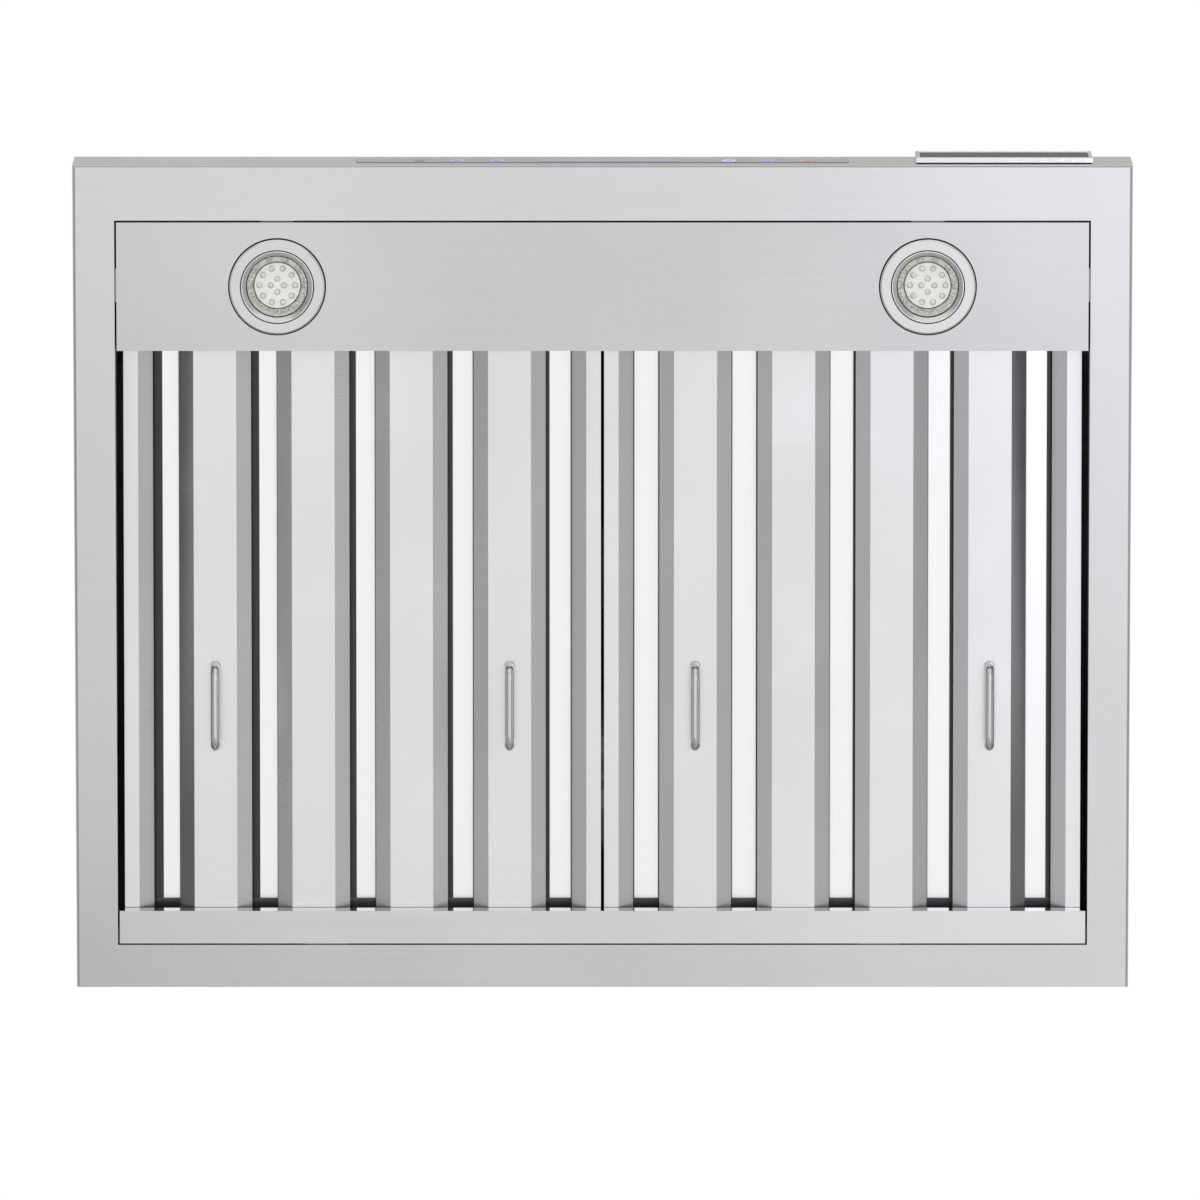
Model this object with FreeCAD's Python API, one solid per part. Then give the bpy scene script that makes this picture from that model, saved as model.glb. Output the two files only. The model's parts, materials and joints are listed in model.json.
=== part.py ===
import FreeCAD, Part
import math
import os

# Wall mount range hood, in millimetres.
# It is drawn with z = 0 at the underside of the rim, y = 0 at the wall and the front towards -y.
# Before it is saved it is lowered, so that the origin is the middle of the wall screws.

# Canopy: lip, rim and pyramid
canopy_width = 762.0
canopy_depth = 600.0
lip_height = 50.0
canopy_height = 290.0
top_width = 344.0
top_depth = 292.0
sheet = 1.0
bend_radius = 2.5
rim_side = 30.0
rim_front = 40.0
rim_rear = 31.0
lap_height = 10.0
lap_rise = 0.8
fit_gap = 0.2

# Wall screws
screw_hole_radius = 4.0
screw_spacing_x = 300.0
screw_spacing_z = 120.0
lower_screw_height = 110.0

# Light panel and lamps
panel_gap = 1.4
panel_depth = 93.1
panel_flange = 20.0
panel_stop = 12.0
lamp_inset = 115.6
bezel_radius = 34.25
bezel_flat_radius = 26.0
bezel_drop = 2.2
bezel_edge = 1.1
bezel_barrel = 3.0
lens_radius = 22.5
lens_lap = 1.0
lens_thickness = 1.5
lens_height = 0.8
can_radius = 29.7
can_wall = 1.0
can_height = 30.0
can_flange = 2.4
heat_core_radius = 16.0
fin_count = 12
fin_thickness = 1.2
reflector_depth = 5.7
reflector_facets = 24
reflector_wall = 0.7
board_radius = 18.5
board_thickness = 1.6
dome_radius = 2.2
outer_domes = 10
outer_dome_circle = 12.8
inner_domes = 4
inner_dome_circle = 4.7

# Touch control on the front face
glass_width = 354.0
glass_height = 20.0
glass_thickness = 2.0
glass_proud = 0.3
glass_corner = 2.0
housing_gap = 1.0
housing_depth = 22.0
housing_wall = 2.0

# Baffle filters
filter_slope = 3.15
filter_rear_height = 13.3
filter_thickness = 27.0
filter_sheet = 0.8
filter_side_gap = 4.8
filter_middle_gap = 2.4
seat_gap = 0.3
ledge_depth = 11.0
rear_overlap = 8.0
front_overlap = 7.0
baffle_flat = 31.0
wing_run = 10.5
wing_rise = 6.0
wing_lip = 3.0
baffle_gap = 19.0
least_end_flat = 8.0
upper_flat = 25.0
rail_rear_foot = 18.0
rail_front_foot = 11.0
rail_top = 34.0
rail_side_top = 11.0
upper_rear_gap = 26.0
upper_front_gap = 4.0
lower_end_gap = 1.0
drip_hole_radius = 2.5
drip_hole_inset = 9.0

# Wire handles
handle_wire = 6.2
handle_length = 64.0
handle_stand = 15.1
handle_bend = 8.0
handle_from_rear = 169.0

# Grease tray and its clips
tray_gap = 1.1
tray_end_gap = 1.4
tray_depth = 23.9
tray_front_height = 13.0
tray_rear_height = 10.5
tray_hem = 3.0
clip_sheet = 0.4
clip_width = 30.0
clip_inset = 149.6
clip_leg = 7.0

# Blower
fan_wall_gap = 14.0
fan_height = 175.0
scroll_width = 142.0
scroll_tongue_gap = 5.0
scroll_growth = 38.0
impeller_radius = 75.0
impeller_ring = 10.0
impeller_sheet = 1.6
impeller_side_gap = 7.0
blade_count = 32
blade_thickness = 1.0
blade_bow = 1.2
blade_sweep = 9.0
hub_radius = 13.0
hub_length = 18.0
shaft_radius = 4.0
running_gap = 0.05
inlet_radius = 63.0
inlet_lip = 4.0
motor_radius = 44.0
motor_length = 68.0
motor_hub_gap = 12.0
motor_cap_radius = 16.0
motor_cap_length = 6.0
motor_edge = 3.0
shaft_in_motor = 20.0
bracket_sheet = 2.0
bracket_arm_width = 14.0
bracket_reach = 78.0
bracket_ring_width = 7.0
bracket_arms = 3

# Outlet collar and damper
collar_radius = 75.0
collar_wall = 1.0
collar_height = 50.0
collar_flange = 14.0
throat_radius = 52.0
damper_height = 28.0
damper_pin_radius = 2.0
damper_knuckle_radius = 3.4
damper_knuckle_length = 14.0
damper_knuckle_gap = 1.0
damper_sheet = 0.8
damper_rim_gap = 1.5
damper_stop_width = 3.5

# Mains box on the canopy's top
box_length = 60.0
box_depth = 50.0
box_height = 34.0
box_corner = 4.0
box_sheet = 1.2
box_side_gap = 22.0
box_wall_gap = 34.0
gland_radius = 9.0
gland_bore = 4.5
gland_base_height = 6.0
gland_neck_height = 3.0
gland_neck_inset = 1.5
gland_nut_height = 9.0
gland_nut_taper = 2.5

# Chimney covers
chimney_width = 330.0
chimney_depth = 285.0
lower_cover_height = 400.0
upper_cover_height = 450.0
cover_overlap = 190.0
cover_gap = 0.5
cover_return = 22.0
slot_count = 5
slot_length = 90.0
slot_height = 6.0
slot_pitch = 18.0
slot_top_margin = 40.0
wall_bracket_height = 30.0
wall_bracket_drop = 15.0
wall_bracket_arm = 38.0
wall_bracket_sheet = 1.2
wall_bracket_screw_spacing = 160.0
wall_bracket_hole_radius = 3.0
cover_screw_radius = 4.0
cover_screw_head = 2.0
cover_screw_shank = 2.0
cover_screw_length = 8.0
cover_screw_height = 16.0
cover_screw_inset = 60.0
cover_tab_height = 26.0
cover_tab_length = 200.0

# Places that follow from the sizes above
half_width = canopy_width / 2
open_x = half_width - rim_side
open_front = -canopy_depth + rim_front
open_rear = -rim_rear
panel_front = open_front + panel_gap
panel_rear = panel_front + panel_depth
panel_half = open_x - panel_gap
lamp_x = panel_half - lamp_inset
lamp_y = (panel_front + panel_rear) / 2
tray_half = open_x - tray_end_gap
housing_width = glass_width + 2 * (housing_gap + housing_wall)
housing_height = lip_height - 2 * (lap_height + housing_gap)
filter_tangent = math.tan(math.radians(filter_slope))
filter_rear = open_rear - ledge_depth + rear_overlap
filter_front = panel_rear - front_overlap
filter_length = (filter_rear - filter_front) / math.cos(math.radians(filter_slope))
filter_width = open_x - filter_side_gap - filter_middle_gap / 2
filter_centre = (filter_width + filter_middle_gap) / 2
baffle_pitch = baffle_flat + 2 * wing_run + baffle_gap
gap_room = filter_width - 2 * (least_end_flat + wing_run) - baffle_gap
gap_count = int(gap_room // baffle_pitch) + 1
wing_tip_x = (gap_count - 1) * baffle_pitch / 2 + baffle_gap / 2
scroll_start = impeller_radius + scroll_tongue_gap
scroll_rear = scroll_start + scroll_growth / 3
scroll_front = scroll_start + scroll_growth
fan_y = -sheet - fan_wall_gap - scroll_rear
tongue_y = fan_y - scroll_tongue_gap * 2
collar_y = (fan_y - scroll_front + tongue_y) / 2
scroll_inner_x = scroll_width / 2 - sheet
impeller_half = scroll_inner_x - impeller_side_gap
hanging_height = lower_screw_height + screw_spacing_z / 2

sides = (("left", -1), ("right", 1))


def vec(x, y, z):
    return FreeCAD.Vector(x, y, z)


def block(x0, x1, y0, y1, z0, z1):
    return Part.makeBox(x1 - x0, y1 - y0, z1 - z0, vec(x0, y0, z0))


def rod(radius, start, direction, length):
    return Part.makeCylinder(radius, length, start, direction)


def swept_face(points, travel):
    face = Part.Face(Part.makePolygon(points + points[:1]))
    return face.extrude(travel)


def along_x(profile, x0, x1):
    return swept_face([vec(x0, y, z) for y, z in profile], vec(x1 - x0, 0, 0))


def along_y(profile, y0, y1):
    return swept_face([vec(x, y0, z) for x, z in profile], vec(0, y1 - y0, 0))


def along_z(profile, z0, z1):
    return swept_face([vec(x, y, z0) for x, y in profile], vec(0, 0, z1 - z0))


def turned(profile, centre, axis=None):
    """Turn an outline of (radius, height) points into a round piece on an axis, upright by default."""
    points = [vec(r, 0, h) for r, h in profile]
    face = Part.Face(Part.makePolygon(points + points[:1]))
    piece = face.revolve(vec(0, 0, 0), vec(0, 0, 1), 360)
    piece.Placement = FreeCAD.Placement(centre, axis or FreeCAD.Rotation())
    return piece


def folded(line, thickness):
    """Outline of a folded sheet: the line is one face and the sheet lies to the left of it."""
    normals = []
    for (a0, b0), (a1, b1) in zip(line, line[1:]):
        length = math.hypot(a1 - a0, b1 - b0)
        normals.append(((b0 - b1) / length, (a1 - a0) / length))
    other_face = []
    for index, (a, b) in enumerate(line):
        before = normals[max(index - 1, 0)]
        after = normals[min(index, len(normals) - 1)]
        share = thickness / (1 + before[0] * after[0] + before[1] * after[1])
        other_face.append((a + (before[0] + after[0]) * share, b + (before[1] + after[1]) * share))
    return line + other_face[::-1]


def joined(pieces):
    whole = pieces[0].multiFuse(pieces[1:])
    return whole.removeSplitter()


def filter_plane(y):
    """Height of the lowest face of the seated filters at a depth y."""
    return filter_rear_height + (filter_rear - y) * filter_tangent


def lower_edges(shape, z):
    chosen = []
    for edge in shape.Edges:
        low = all(abs(vertex.Z - z) < fit_gap for vertex in edge.Vertexes)
        wall_side = all(abs(vertex.Y - shape.BoundBox.YMax) < fit_gap for vertex in edge.Vertexes)
        if low and not wall_side:
            chosen.append(edge)
    return chosen


def canopy_skirt():
    outer = block(-half_width, half_width, -canopy_depth, 0, 0, lip_height)
    outer = outer.makeFillet(bend_radius, lower_edges(outer, 0))
    inner = block(-half_width + sheet, half_width - sheet, -canopy_depth + sheet, -sheet,
                  sheet, lip_height + bend_radius)
    inner = inner.makeFillet(bend_radius - sheet, lower_edges(inner, sheet))
    opening = block(-open_x, open_x, open_front, open_rear, -sheet, lip_height)
    flange = block(-open_x - sheet, open_x + sheet, open_front - sheet, open_rear + sheet, 0, lip_height)
    flange = flange.cut(opening)
    below_filters = along_x([(-canopy_depth, 0), (0, 0), (0, filter_plane(0) - seat_gap),
                             (-canopy_depth, filter_plane(-canopy_depth) - seat_gap)],
                            -half_width, half_width)
    flange = flange.common(below_filters)
    ledge_front = open_rear - ledge_depth
    ledge_line = [(open_rear + sheet, filter_plane(open_rear + sheet) - seat_gap),
                  (ledge_front, filter_plane(ledge_front) - seat_gap)]
    ledge = along_x(folded(ledge_line, sheet), -open_x - sheet, open_x + sheet)
    ledge = ledge.common(below_filters)
    window = front_strip(-canopy_depth - sheet, 3 * sheet, fit_gap)
    return joined([outer.cut(inner).cut(opening).cut(window), flange, ledge])


def canopy_front():
    corners = [vec(-half_width, -canopy_depth, lip_height), vec(half_width, -canopy_depth, lip_height),
               vec(top_width / 2, -top_depth, canopy_height), vec(-top_width / 2, -top_depth, canopy_height)]
    slope = swept_face(corners, vec(0, sheet, 0))
    half = half_width - 2 * sheet - fit_gap
    lap = block(-half, half, -canopy_depth + sheet, -canopy_depth + 2 * sheet,
                lip_height - lap_height, lip_height + lap_rise)
    return joined([slope, lap])


def canopy_side(side):
    front = -canopy_depth + sheet
    low = side * half_width
    high = side * top_width / 2
    corners = [vec(low, front, lip_height), vec(low, 0, lip_height), vec(high, 0, canopy_height),
               vec(high, -top_depth + sheet, canopy_height)]
    slope = swept_face(corners, vec(-side * sheet, 0, 0))
    across = sorted((side * (half_width - sheet), side * (half_width - 2 * sheet)))
    lap = block(across[0], across[1], front + sheet + fit_gap, -sheet,
                lip_height - lap_height, lip_height + lap_rise)
    return joined([slope, lap])


def level_frame(x, front, rear, z):
    return Part.makePolygon([vec(-x, front, z), vec(x, front, z), vec(x, rear, z), vec(-x, rear, z),
                             vec(-x, front, z)])


def canopy_top():
    """Flat sheet that closes the slopes, with the outlet hole and two tabs for the chimney cover's screws."""
    inside = Part.makeLoft([level_frame(half_width - sheet, -canopy_depth + sheet, sheet, lip_height),
                            level_frame(top_width / 2 - sheet, -top_depth + sheet, sheet, canopy_height)],
                           True, True)
    pieces = [inside.common(block(-half_width, half_width, -canopy_depth, -sheet,
                                  canopy_height - sheet, canopy_height))]
    for _, side in sides:
        outer = side * (chimney_width / 2 - sheet - fit_gap)
        across = sorted((outer, outer - side * sheet))
        front = -(chimney_depth + cover_tab_length) / 2
        pieces.append(block(across[0], across[1], front, front + cover_tab_length,
                            canopy_height - sheet, canopy_height + cover_tab_height))
    throat = rod(throat_radius, vec(0, collar_y, canopy_height - 2 * sheet), vec(0, 0, 1), 4 * sheet)
    plate = joined(pieces).cut(throat)
    return plate.cut(cover_screw_holes())


def back_panel():
    lower = half_width - sheet - fit_gap
    upper = top_width / 2 - sheet - fit_gap
    panel = along_y([(-lower, lip_height), (lower, lip_height), (upper, canopy_height),
                     (-upper, canopy_height)], -sheet, 0)
    for x in (-screw_spacing_x / 2, screw_spacing_x / 2):
        for z in (lower_screw_height, lower_screw_height + screw_spacing_z):
            panel = panel.cut(rod(screw_hole_radius, vec(x, -2 * sheet, z), vec(0, 1, 0), 3 * sheet))
    return panel


def light_panel():
    line = [(panel_front, panel_flange), (panel_front, 0), (panel_rear, 0),
            (panel_rear, filter_plane(panel_rear) - seat_gap)]
    pieces = [along_x(folded(line, sheet), -panel_half, panel_half)]
    stop_low = panel_flange - panel_stop
    for _, side in sides:
        edge = sorted((side * panel_half, side * (panel_half - sheet)))
        pieces.append(block(edge[0], edge[1], panel_front, panel_rear, 0, panel_flange))
        # Pressed stops close the gap to the skirt's flange at the front and at both ends.
        middle = side * lamp_x
        pieces.append(block(middle - panel_stop, middle + panel_stop, open_front + fit_gap,
                            panel_front + sheet, stop_low, panel_flange))
        edge = sorted((side * (open_x - fit_gap), side * (panel_half - sheet)))
        pieces.append(block(edge[0], edge[1], lamp_y - panel_stop, lamp_y + panel_stop,
                            stop_low, panel_flange))
    panel = joined(pieces)
    for _, side in sides:
        below = vec(side * lamp_x, lamp_y, -sheet)
        panel = panel.cut(rod(can_radius + fit_gap, below, vec(0, 0, 1), 3 * sheet))
    return panel


def ring_of_facets(radius, z):
    corners = []
    for index in range(reflector_facets + 1):
        turn = 2 * math.pi * index / reflector_facets
        corners.append(vec(radius * math.cos(turn), radius * math.sin(turn), z))
    return Part.makePolygon(corners)


def lamp_parts(side):
    centre = vec(side * lamp_x, lamp_y, 0)
    barrel = can_radius - can_wall - seat_gap
    pocket = lens_radius + lens_lap + fit_gap
    lens_top = lens_height + lens_thickness
    board_z = lens_top + reflector_depth
    floor_z = board_z + board_thickness
    bezel = turned([(lens_radius, lens_height / 2), (bezel_flat_radius, -bezel_drop),
                    (bezel_radius - bezel_edge, -bezel_drop), (bezel_radius, -bezel_drop + bezel_edge),
                    (bezel_radius, 0), (barrel, 0), (barrel, bezel_barrel), (pocket, bezel_barrel),
                    (pocket, lens_height), (lens_radius, lens_height)], centre)
    lens = rod(lens_radius + lens_lap, centre + vec(0, 0, lens_height), vec(0, 0, 1), lens_thickness)
    mouth = lens_radius - reflector_wall
    throat = board_radius - 2 * reflector_wall
    wide = Part.makeLoft([ring_of_facets(mouth + reflector_wall, lens_top),
                          ring_of_facets(throat + reflector_wall, board_z)], True, True)
    narrow = Part.makeLoft([ring_of_facets(mouth, lens_top), ring_of_facets(throat, board_z)], True, True)
    reflector = wide.cut(narrow).translated(centre)
    board = rod(board_radius, centre + vec(0, 0, board_z), vec(0, 0, 1), board_thickness)
    domes = []
    for count, circle in ((outer_domes, outer_dome_circle), (inner_domes, inner_dome_circle)):
        for index in range(count):
            turn = 2 * math.pi * index / count
            spot = centre + vec(circle * math.cos(turn), circle * math.sin(turn), board_z)
            domes.append(Part.makeSphere(dome_radius, spot, vec(0, 0, 1), -90, 0, 360))
    inside = can_radius - can_wall
    shoulder = floor_z + can_flange
    cup = [(inside, 0), (can_radius, 0), (can_radius, shoulder), (heat_core_radius, shoulder),
           (heat_core_radius, can_height), (0, can_height), (0, floor_z), (inside, floor_z)]
    pieces = [turned(cup, centre)]
    for index in range(fin_count):
        fin = block(heat_core_radius / 2, can_radius - can_wall, -fin_thickness / 2, fin_thickness / 2,
                    shoulder - can_wall, can_height - can_wall)
        fin.rotate(vec(0, 0, 0), vec(0, 0, 1), 360 * index / fin_count)
        pieces.append(fin.translated(centre))
    return {"lamp_bezel": bezel, "lamp_lens": lens, "lamp_reflector": reflector, "led_board": board,
            "led_domes": Part.makeCompound(domes), "lamp_can": joined(pieces)}


def front_strip(front, thickness, extra):
    """The touch strip's outline with round corners, grown by extra, from a depth y inwards."""
    half = glass_width / 2 + extra
    middle = lip_height / 2
    rise = glass_height / 2 + extra
    strip = block(-half, half, front, front + thickness, middle - rise, middle + rise)
    corners = [edge for edge in strip.Edges if edge.BoundBox.YLength > thickness / 2]
    return strip.makeFillet(glass_corner + extra, corners)


def control_glass():
    return front_strip(-canopy_depth - glass_proud, glass_thickness, 0)


def control_housing():
    middle = lip_height / 2
    front = -canopy_depth + sheet
    outer = block(-housing_width / 2, housing_width / 2, front, front + housing_depth,
                  middle - housing_height / 2, middle + housing_height / 2)
    inner = block(-housing_width / 2 + housing_wall, housing_width / 2 - housing_wall,
                  front - housing_wall, front + housing_depth - housing_wall,
                  middle - housing_height / 2 + housing_wall, middle + housing_height / 2 - housing_wall)
    return outer.cut(inner)


def filter_frame():
    half = filter_width / 2
    foot = filter_sheet
    depth = filter_thickness
    rear = folded([(-rail_rear_foot, 0), (0, 0), (0, depth), (-rail_top, depth)], filter_sheet)
    front = folded([(rail_top - filter_length, depth), (-filter_length, depth), (-filter_length, 0),
                    (rail_front_foot - filter_length, 0)], filter_sheet)
    pieces = [along_x(rear, -half, half), along_x(front, -half, half)]
    right = [(wing_tip_x, foot + wing_rise + wing_lip), (wing_tip_x, foot + wing_rise),
             (wing_tip_x + wing_run, foot), (half, foot), (half, depth), (half - rail_side_top, depth)]
    right = folded(right, filter_sheet)
    left = [(-x, z) for x, z in right]
    pieces.append(along_y(right, -filter_length, 0))
    pieces.append(along_y(left, -filter_length, 0))
    frame = joined(pieces)
    for index in range(gap_count):
        x = (index - (gap_count - 1) / 2) * baffle_pitch
        hole = rod(drip_hole_radius, vec(x, -drip_hole_inset, -filter_sheet), vec(0, 0, 1), 3 * filter_sheet)
        frame = frame.cut(hole)
    return frame


def lower_baffles():
    end = filter_sheet + lower_end_gap
    foot = filter_sheet
    strips = []
    for index in range(gap_count - 1):
        middle = (index - (gap_count - 2) / 2) * baffle_pitch
        half = baffle_flat / 2
        tip = half + wing_run
        line = [(middle - tip, foot + wing_rise + wing_lip), (middle - tip, foot + wing_rise),
                (middle - half, foot), (middle + half, foot), (middle + tip, foot + wing_rise),
                (middle + tip, foot + wing_rise + wing_lip)]
        strips.append(along_y(folded(line, filter_sheet), end - filter_length, -end))
    return Part.makeCompound(strips)


def upper_baffles():
    roof = filter_thickness - 2 * filter_sheet
    strips = []
    for index in range(gap_count):
        middle = (index - (gap_count - 1) / 2) * baffle_pitch
        half = upper_flat / 2
        tip = half + wing_run
        line = [(middle - tip, roof - wing_rise - wing_lip), (middle - tip, roof - wing_rise),
                (middle - half, roof), (middle + half, roof), (middle + tip, roof - wing_rise),
                (middle + tip, roof - wing_rise - wing_lip)]
        strips.append(along_y(folded(line, filter_sheet), upper_front_gap - filter_length, -upper_rear_gap))
    return Part.makeCompound(strips)


def wire_handle(x):
    top = filter_sheet
    low = top - handle_stand
    rear = -handle_from_rear + handle_length / 2 - handle_wire / 2
    front = -handle_from_rear - handle_length / 2 + handle_wire / 2
    turn = handle_bend * (1 - math.cos(math.radians(45)))
    bend = handle_bend
    route = [Part.LineSegment(vec(x, rear, top), vec(x, rear, low + bend)),
             Part.Arc(vec(x, rear, low + bend), vec(x, rear - turn, low + turn), vec(x, rear - bend, low)),
             Part.LineSegment(vec(x, rear - bend, low), vec(x, front + bend, low)),
             Part.Arc(vec(x, front + bend, low), vec(x, front + turn, low + turn), vec(x, front, low + bend)),
             Part.LineSegment(vec(x, front, low + bend), vec(x, front, top))]
    path = Part.Wire([piece.toShape() for piece in route])
    section = Part.Wire([Part.makeCircle(handle_wire / 2, vec(x, rear, top), vec(0, 0, 1))])
    return path.makePipeShell([section], True, False)


def filter_handles():
    reach = (gap_count - 2) / 2 * baffle_pitch
    return Part.makeCompound([wire_handle(-reach), wire_handle(reach)])


def seat_filter(shape, side):
    """Tilt a filter piece about its rear edge and set it on the ledge and the light panel."""
    shape.rotate(vec(0, 0, 0), vec(1, 0, 0), -filter_slope)
    return shape.translated(vec(side * filter_centre, filter_rear, filter_rear_height))


def grease_tray():
    rear = open_rear - tray_gap
    front = rear - tray_depth
    line = [(front + tray_hem, tray_front_height), (front, tray_front_height), (front, 0), (rear, 0),
            (rear, tray_rear_height)]
    pieces = [along_x(folded(line, sheet), -tray_half, tray_half)]
    for _, side in sides:
        edge = sorted((side * tray_half, side * (tray_half - sheet)))
        pieces.append(block(edge[0], edge[1], front, rear, 0, tray_rear_height))
    return joined(pieces)


def tray_clips():
    top = tray_rear_height + 2 * clip_sheet
    low = top - clip_leg
    inner = open_rear - tray_gap - sheet - 2 * clip_sheet
    line = [(open_rear, low), (open_rear, top), (inner, top), (inner, low)]
    clips = []
    for _, side in sides:
        middle = side * (tray_half - clip_inset)
        clips.append(along_x(folded(line, clip_sheet), middle - clip_width / 2, middle + clip_width / 2))
    return Part.makeCompound(clips)


def scroll_point(degrees, extra):
    """A point of the spiral: it starts above the shaft and opens over the rear, the bottom and the front."""
    radius = scroll_start + scroll_growth * degrees / 270 + extra
    turn = math.radians(degrees)
    return fan_y + radius * math.sin(turn), fan_height + radius * math.cos(turn)


def scroll_face(x, extra, top):
    """Outline of the blower housing in a plane of constant x, grown by extra."""
    edges = []
    for start in (0, 90, 180):
        points = [vec(x, *scroll_point(start + step, extra)) for step in (0, 45, 90)]
        edges.append(Part.Arc(*points).toShape())
    start_y, start_z = scroll_point(0, extra)
    end_y, end_z = scroll_point(270, extra)
    inner_y = tongue_y + extra
    corners = [vec(x, end_y, end_z), vec(x, end_y, top), vec(x, inner_y, top), vec(x, inner_y, start_z),
               vec(x, start_y, start_z)]
    for first, second in zip(corners, corners[1:]):
        edges.append(Part.LineSegment(first, second).toShape())
    return Part.Face(Part.Wire(edges))


def scroll_wrap():
    top = canopy_height - sheet
    half = scroll_inner_x
    outer = scroll_face(-half, sheet, top).extrude(vec(2 * half, 0, 0))
    inner = scroll_face(-half - sheet, 0, top + sheet).extrude(vec(2 * half + 2 * sheet, 0, 0))
    return outer.cut(inner)


def scroll_side(side):
    x = side * scroll_inner_x
    plate = scroll_face(x, sheet, canopy_height - sheet).extrude(vec(side * sheet, 0, 0))
    eye = vec(x - side * 2 * inlet_lip, fan_y, fan_height)
    lip_start = vec(x - side * inlet_lip, fan_y, fan_height)
    lip = rod(inlet_radius + sheet, lip_start, vec(side, 0, 0), inlet_lip)
    return joined([plate, lip]).cut(rod(inlet_radius, eye, vec(side, 0, 0), 4 * inlet_lip))


def impeller_blade():
    """One forward-curved blade in the plane across the shaft, between the ring's inner and outer edge."""
    inner = impeller_radius - impeller_ring + impeller_sheet / 2
    outer = impeller_radius - impeller_sheet / 2
    lean = blade_sweep / impeller_radius
    ends = []
    for thick in (0, blade_thickness):
        start = vec(-impeller_half, thick, inner)
        middle = vec(-impeller_half, thick + blade_sweep / 2 - blade_bow, (inner + outer) / 2)
        finish = vec(-impeller_half, thick + outer * math.sin(lean), outer * math.cos(lean))
        ends.append((start, middle, finish))
    near, far = ends
    edges = [Part.Arc(*near).toShape(), Part.LineSegment(near[2], far[2]).toShape(),
             Part.Arc(*far[::-1]).toShape(), Part.LineSegment(far[0], near[0]).toShape()]
    return Part.Face(Part.Wire(edges)).extrude(vec(2 * impeller_half, 0, 0))


def impeller():
    middle = vec(0, fan_y, fan_height)
    on_shaft = FreeCAD.Rotation(vec(0, 0, 1), vec(1, 0, 0))
    bore = shaft_radius + running_gap
    hub = turned([(bore, -hub_length / 2), (hub_radius, -hub_length / 2),
                  (hub_radius, -impeller_sheet / 2), (impeller_radius, -impeller_sheet / 2),
                  (impeller_radius, impeller_sheet / 2), (hub_radius, impeller_sheet / 2),
                  (hub_radius, hub_length / 2), (bore, hub_length / 2)], middle, on_shaft)
    pieces = [hub]
    for _, side in sides:
        outer_end = side * impeller_half
        inner_end = outer_end - side * impeller_sheet
        inner = impeller_radius - impeller_ring
        pieces.append(turned([(inner, outer_end), (impeller_radius, outer_end), (impeller_radius, inner_end),
                              (inner, inner_end)], middle, on_shaft))
    for index in range(blade_count):
        blade = impeller_blade()
        blade.rotate(vec(0, 0, 0), vec(1, 0, 0), 360 * index / blade_count)
        pieces.append(blade.translated(middle))
    return joined(pieces)


def motor_start():
    return hub_length / 2 + motor_hub_gap


def motor_shaft():
    start = -hub_length / 2 - running_gap
    length = motor_start() + shaft_in_motor - start
    return rod(shaft_radius, vec(start, fan_y, fan_height), vec(1, 0, 0), length)


def motor():
    near = motor_start()
    far = near + motor_length
    bore = shaft_radius + running_gap
    deep = near + shaft_in_motor + running_gap
    nose = near - motor_cap_length
    edge = motor_edge
    tail = far + motor_cap_length
    cap = motor_cap_radius
    wide = motor_radius
    profile = [(bore, nose), (cap, nose), (cap, near), (wide - edge, near), (wide, near + edge),
               (wide, far - edge), (wide - edge, far), (cap, far), (cap, tail), (0, tail), (0, deep),
               (bore, deep)]
    return turned(profile, vec(0, fan_y, fan_height), FreeCAD.Rotation(vec(0, 0, 1), vec(1, 0, 0)))


def motor_bracket():
    side_face = scroll_width / 2
    plate = motor_start() + motor_length - 2 * bracket_sheet - motor_edge
    ring = rod(motor_radius + bracket_ring_width, vec(plate, 0, 0), vec(1, 0, 0), bracket_sheet)
    pieces = [ring]
    for index in range(bracket_arms):
        line = [(motor_radius, plate), (bracket_reach, plate), (bracket_reach, side_face),
                (bracket_reach + bracket_arm_width, side_face)]
        outline = [vec(x, -bracket_arm_width / 2, z) for z, x in folded(line, bracket_sheet)]
        arm = swept_face(outline, vec(0, bracket_arm_width, 0))
        arm.rotate(vec(0, 0, 0), vec(1, 0, 0), 180 + 360 * index / bracket_arms)
        pieces.append(arm)
    hole = rod(motor_radius, vec(plate - bracket_sheet, 0, 0), vec(1, 0, 0), 4 * bracket_sheet)
    return joined(pieces).cut(hole).translated(vec(0, fan_y, fan_height))


def outlet_collar():
    base = canopy_height
    inner = collar_radius - collar_wall
    stop = base + damper_height - damper_sheet / 2 - seat_gap
    tube = turned([(inner, base), (collar_radius + collar_flange, base),
                   (collar_radius + collar_flange, base + collar_wall), (collar_radius, base + collar_wall),
                   (collar_radius, base + collar_height), (inner, base + collar_height), (inner, stop),
                   (inner - damper_stop_width, stop), (inner - damper_stop_width, stop - collar_wall),
                   (inner, stop - collar_wall)], vec(0, collar_y, 0))
    return tube.cut(damper_rod(running_gap, 2 * collar_radius))


def damper_rod(extra, length):
    start = vec(0, collar_y - length / 2, canopy_height + damper_height)
    return rod(damper_pin_radius + extra, start, vec(0, 1, 0), length)


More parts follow.
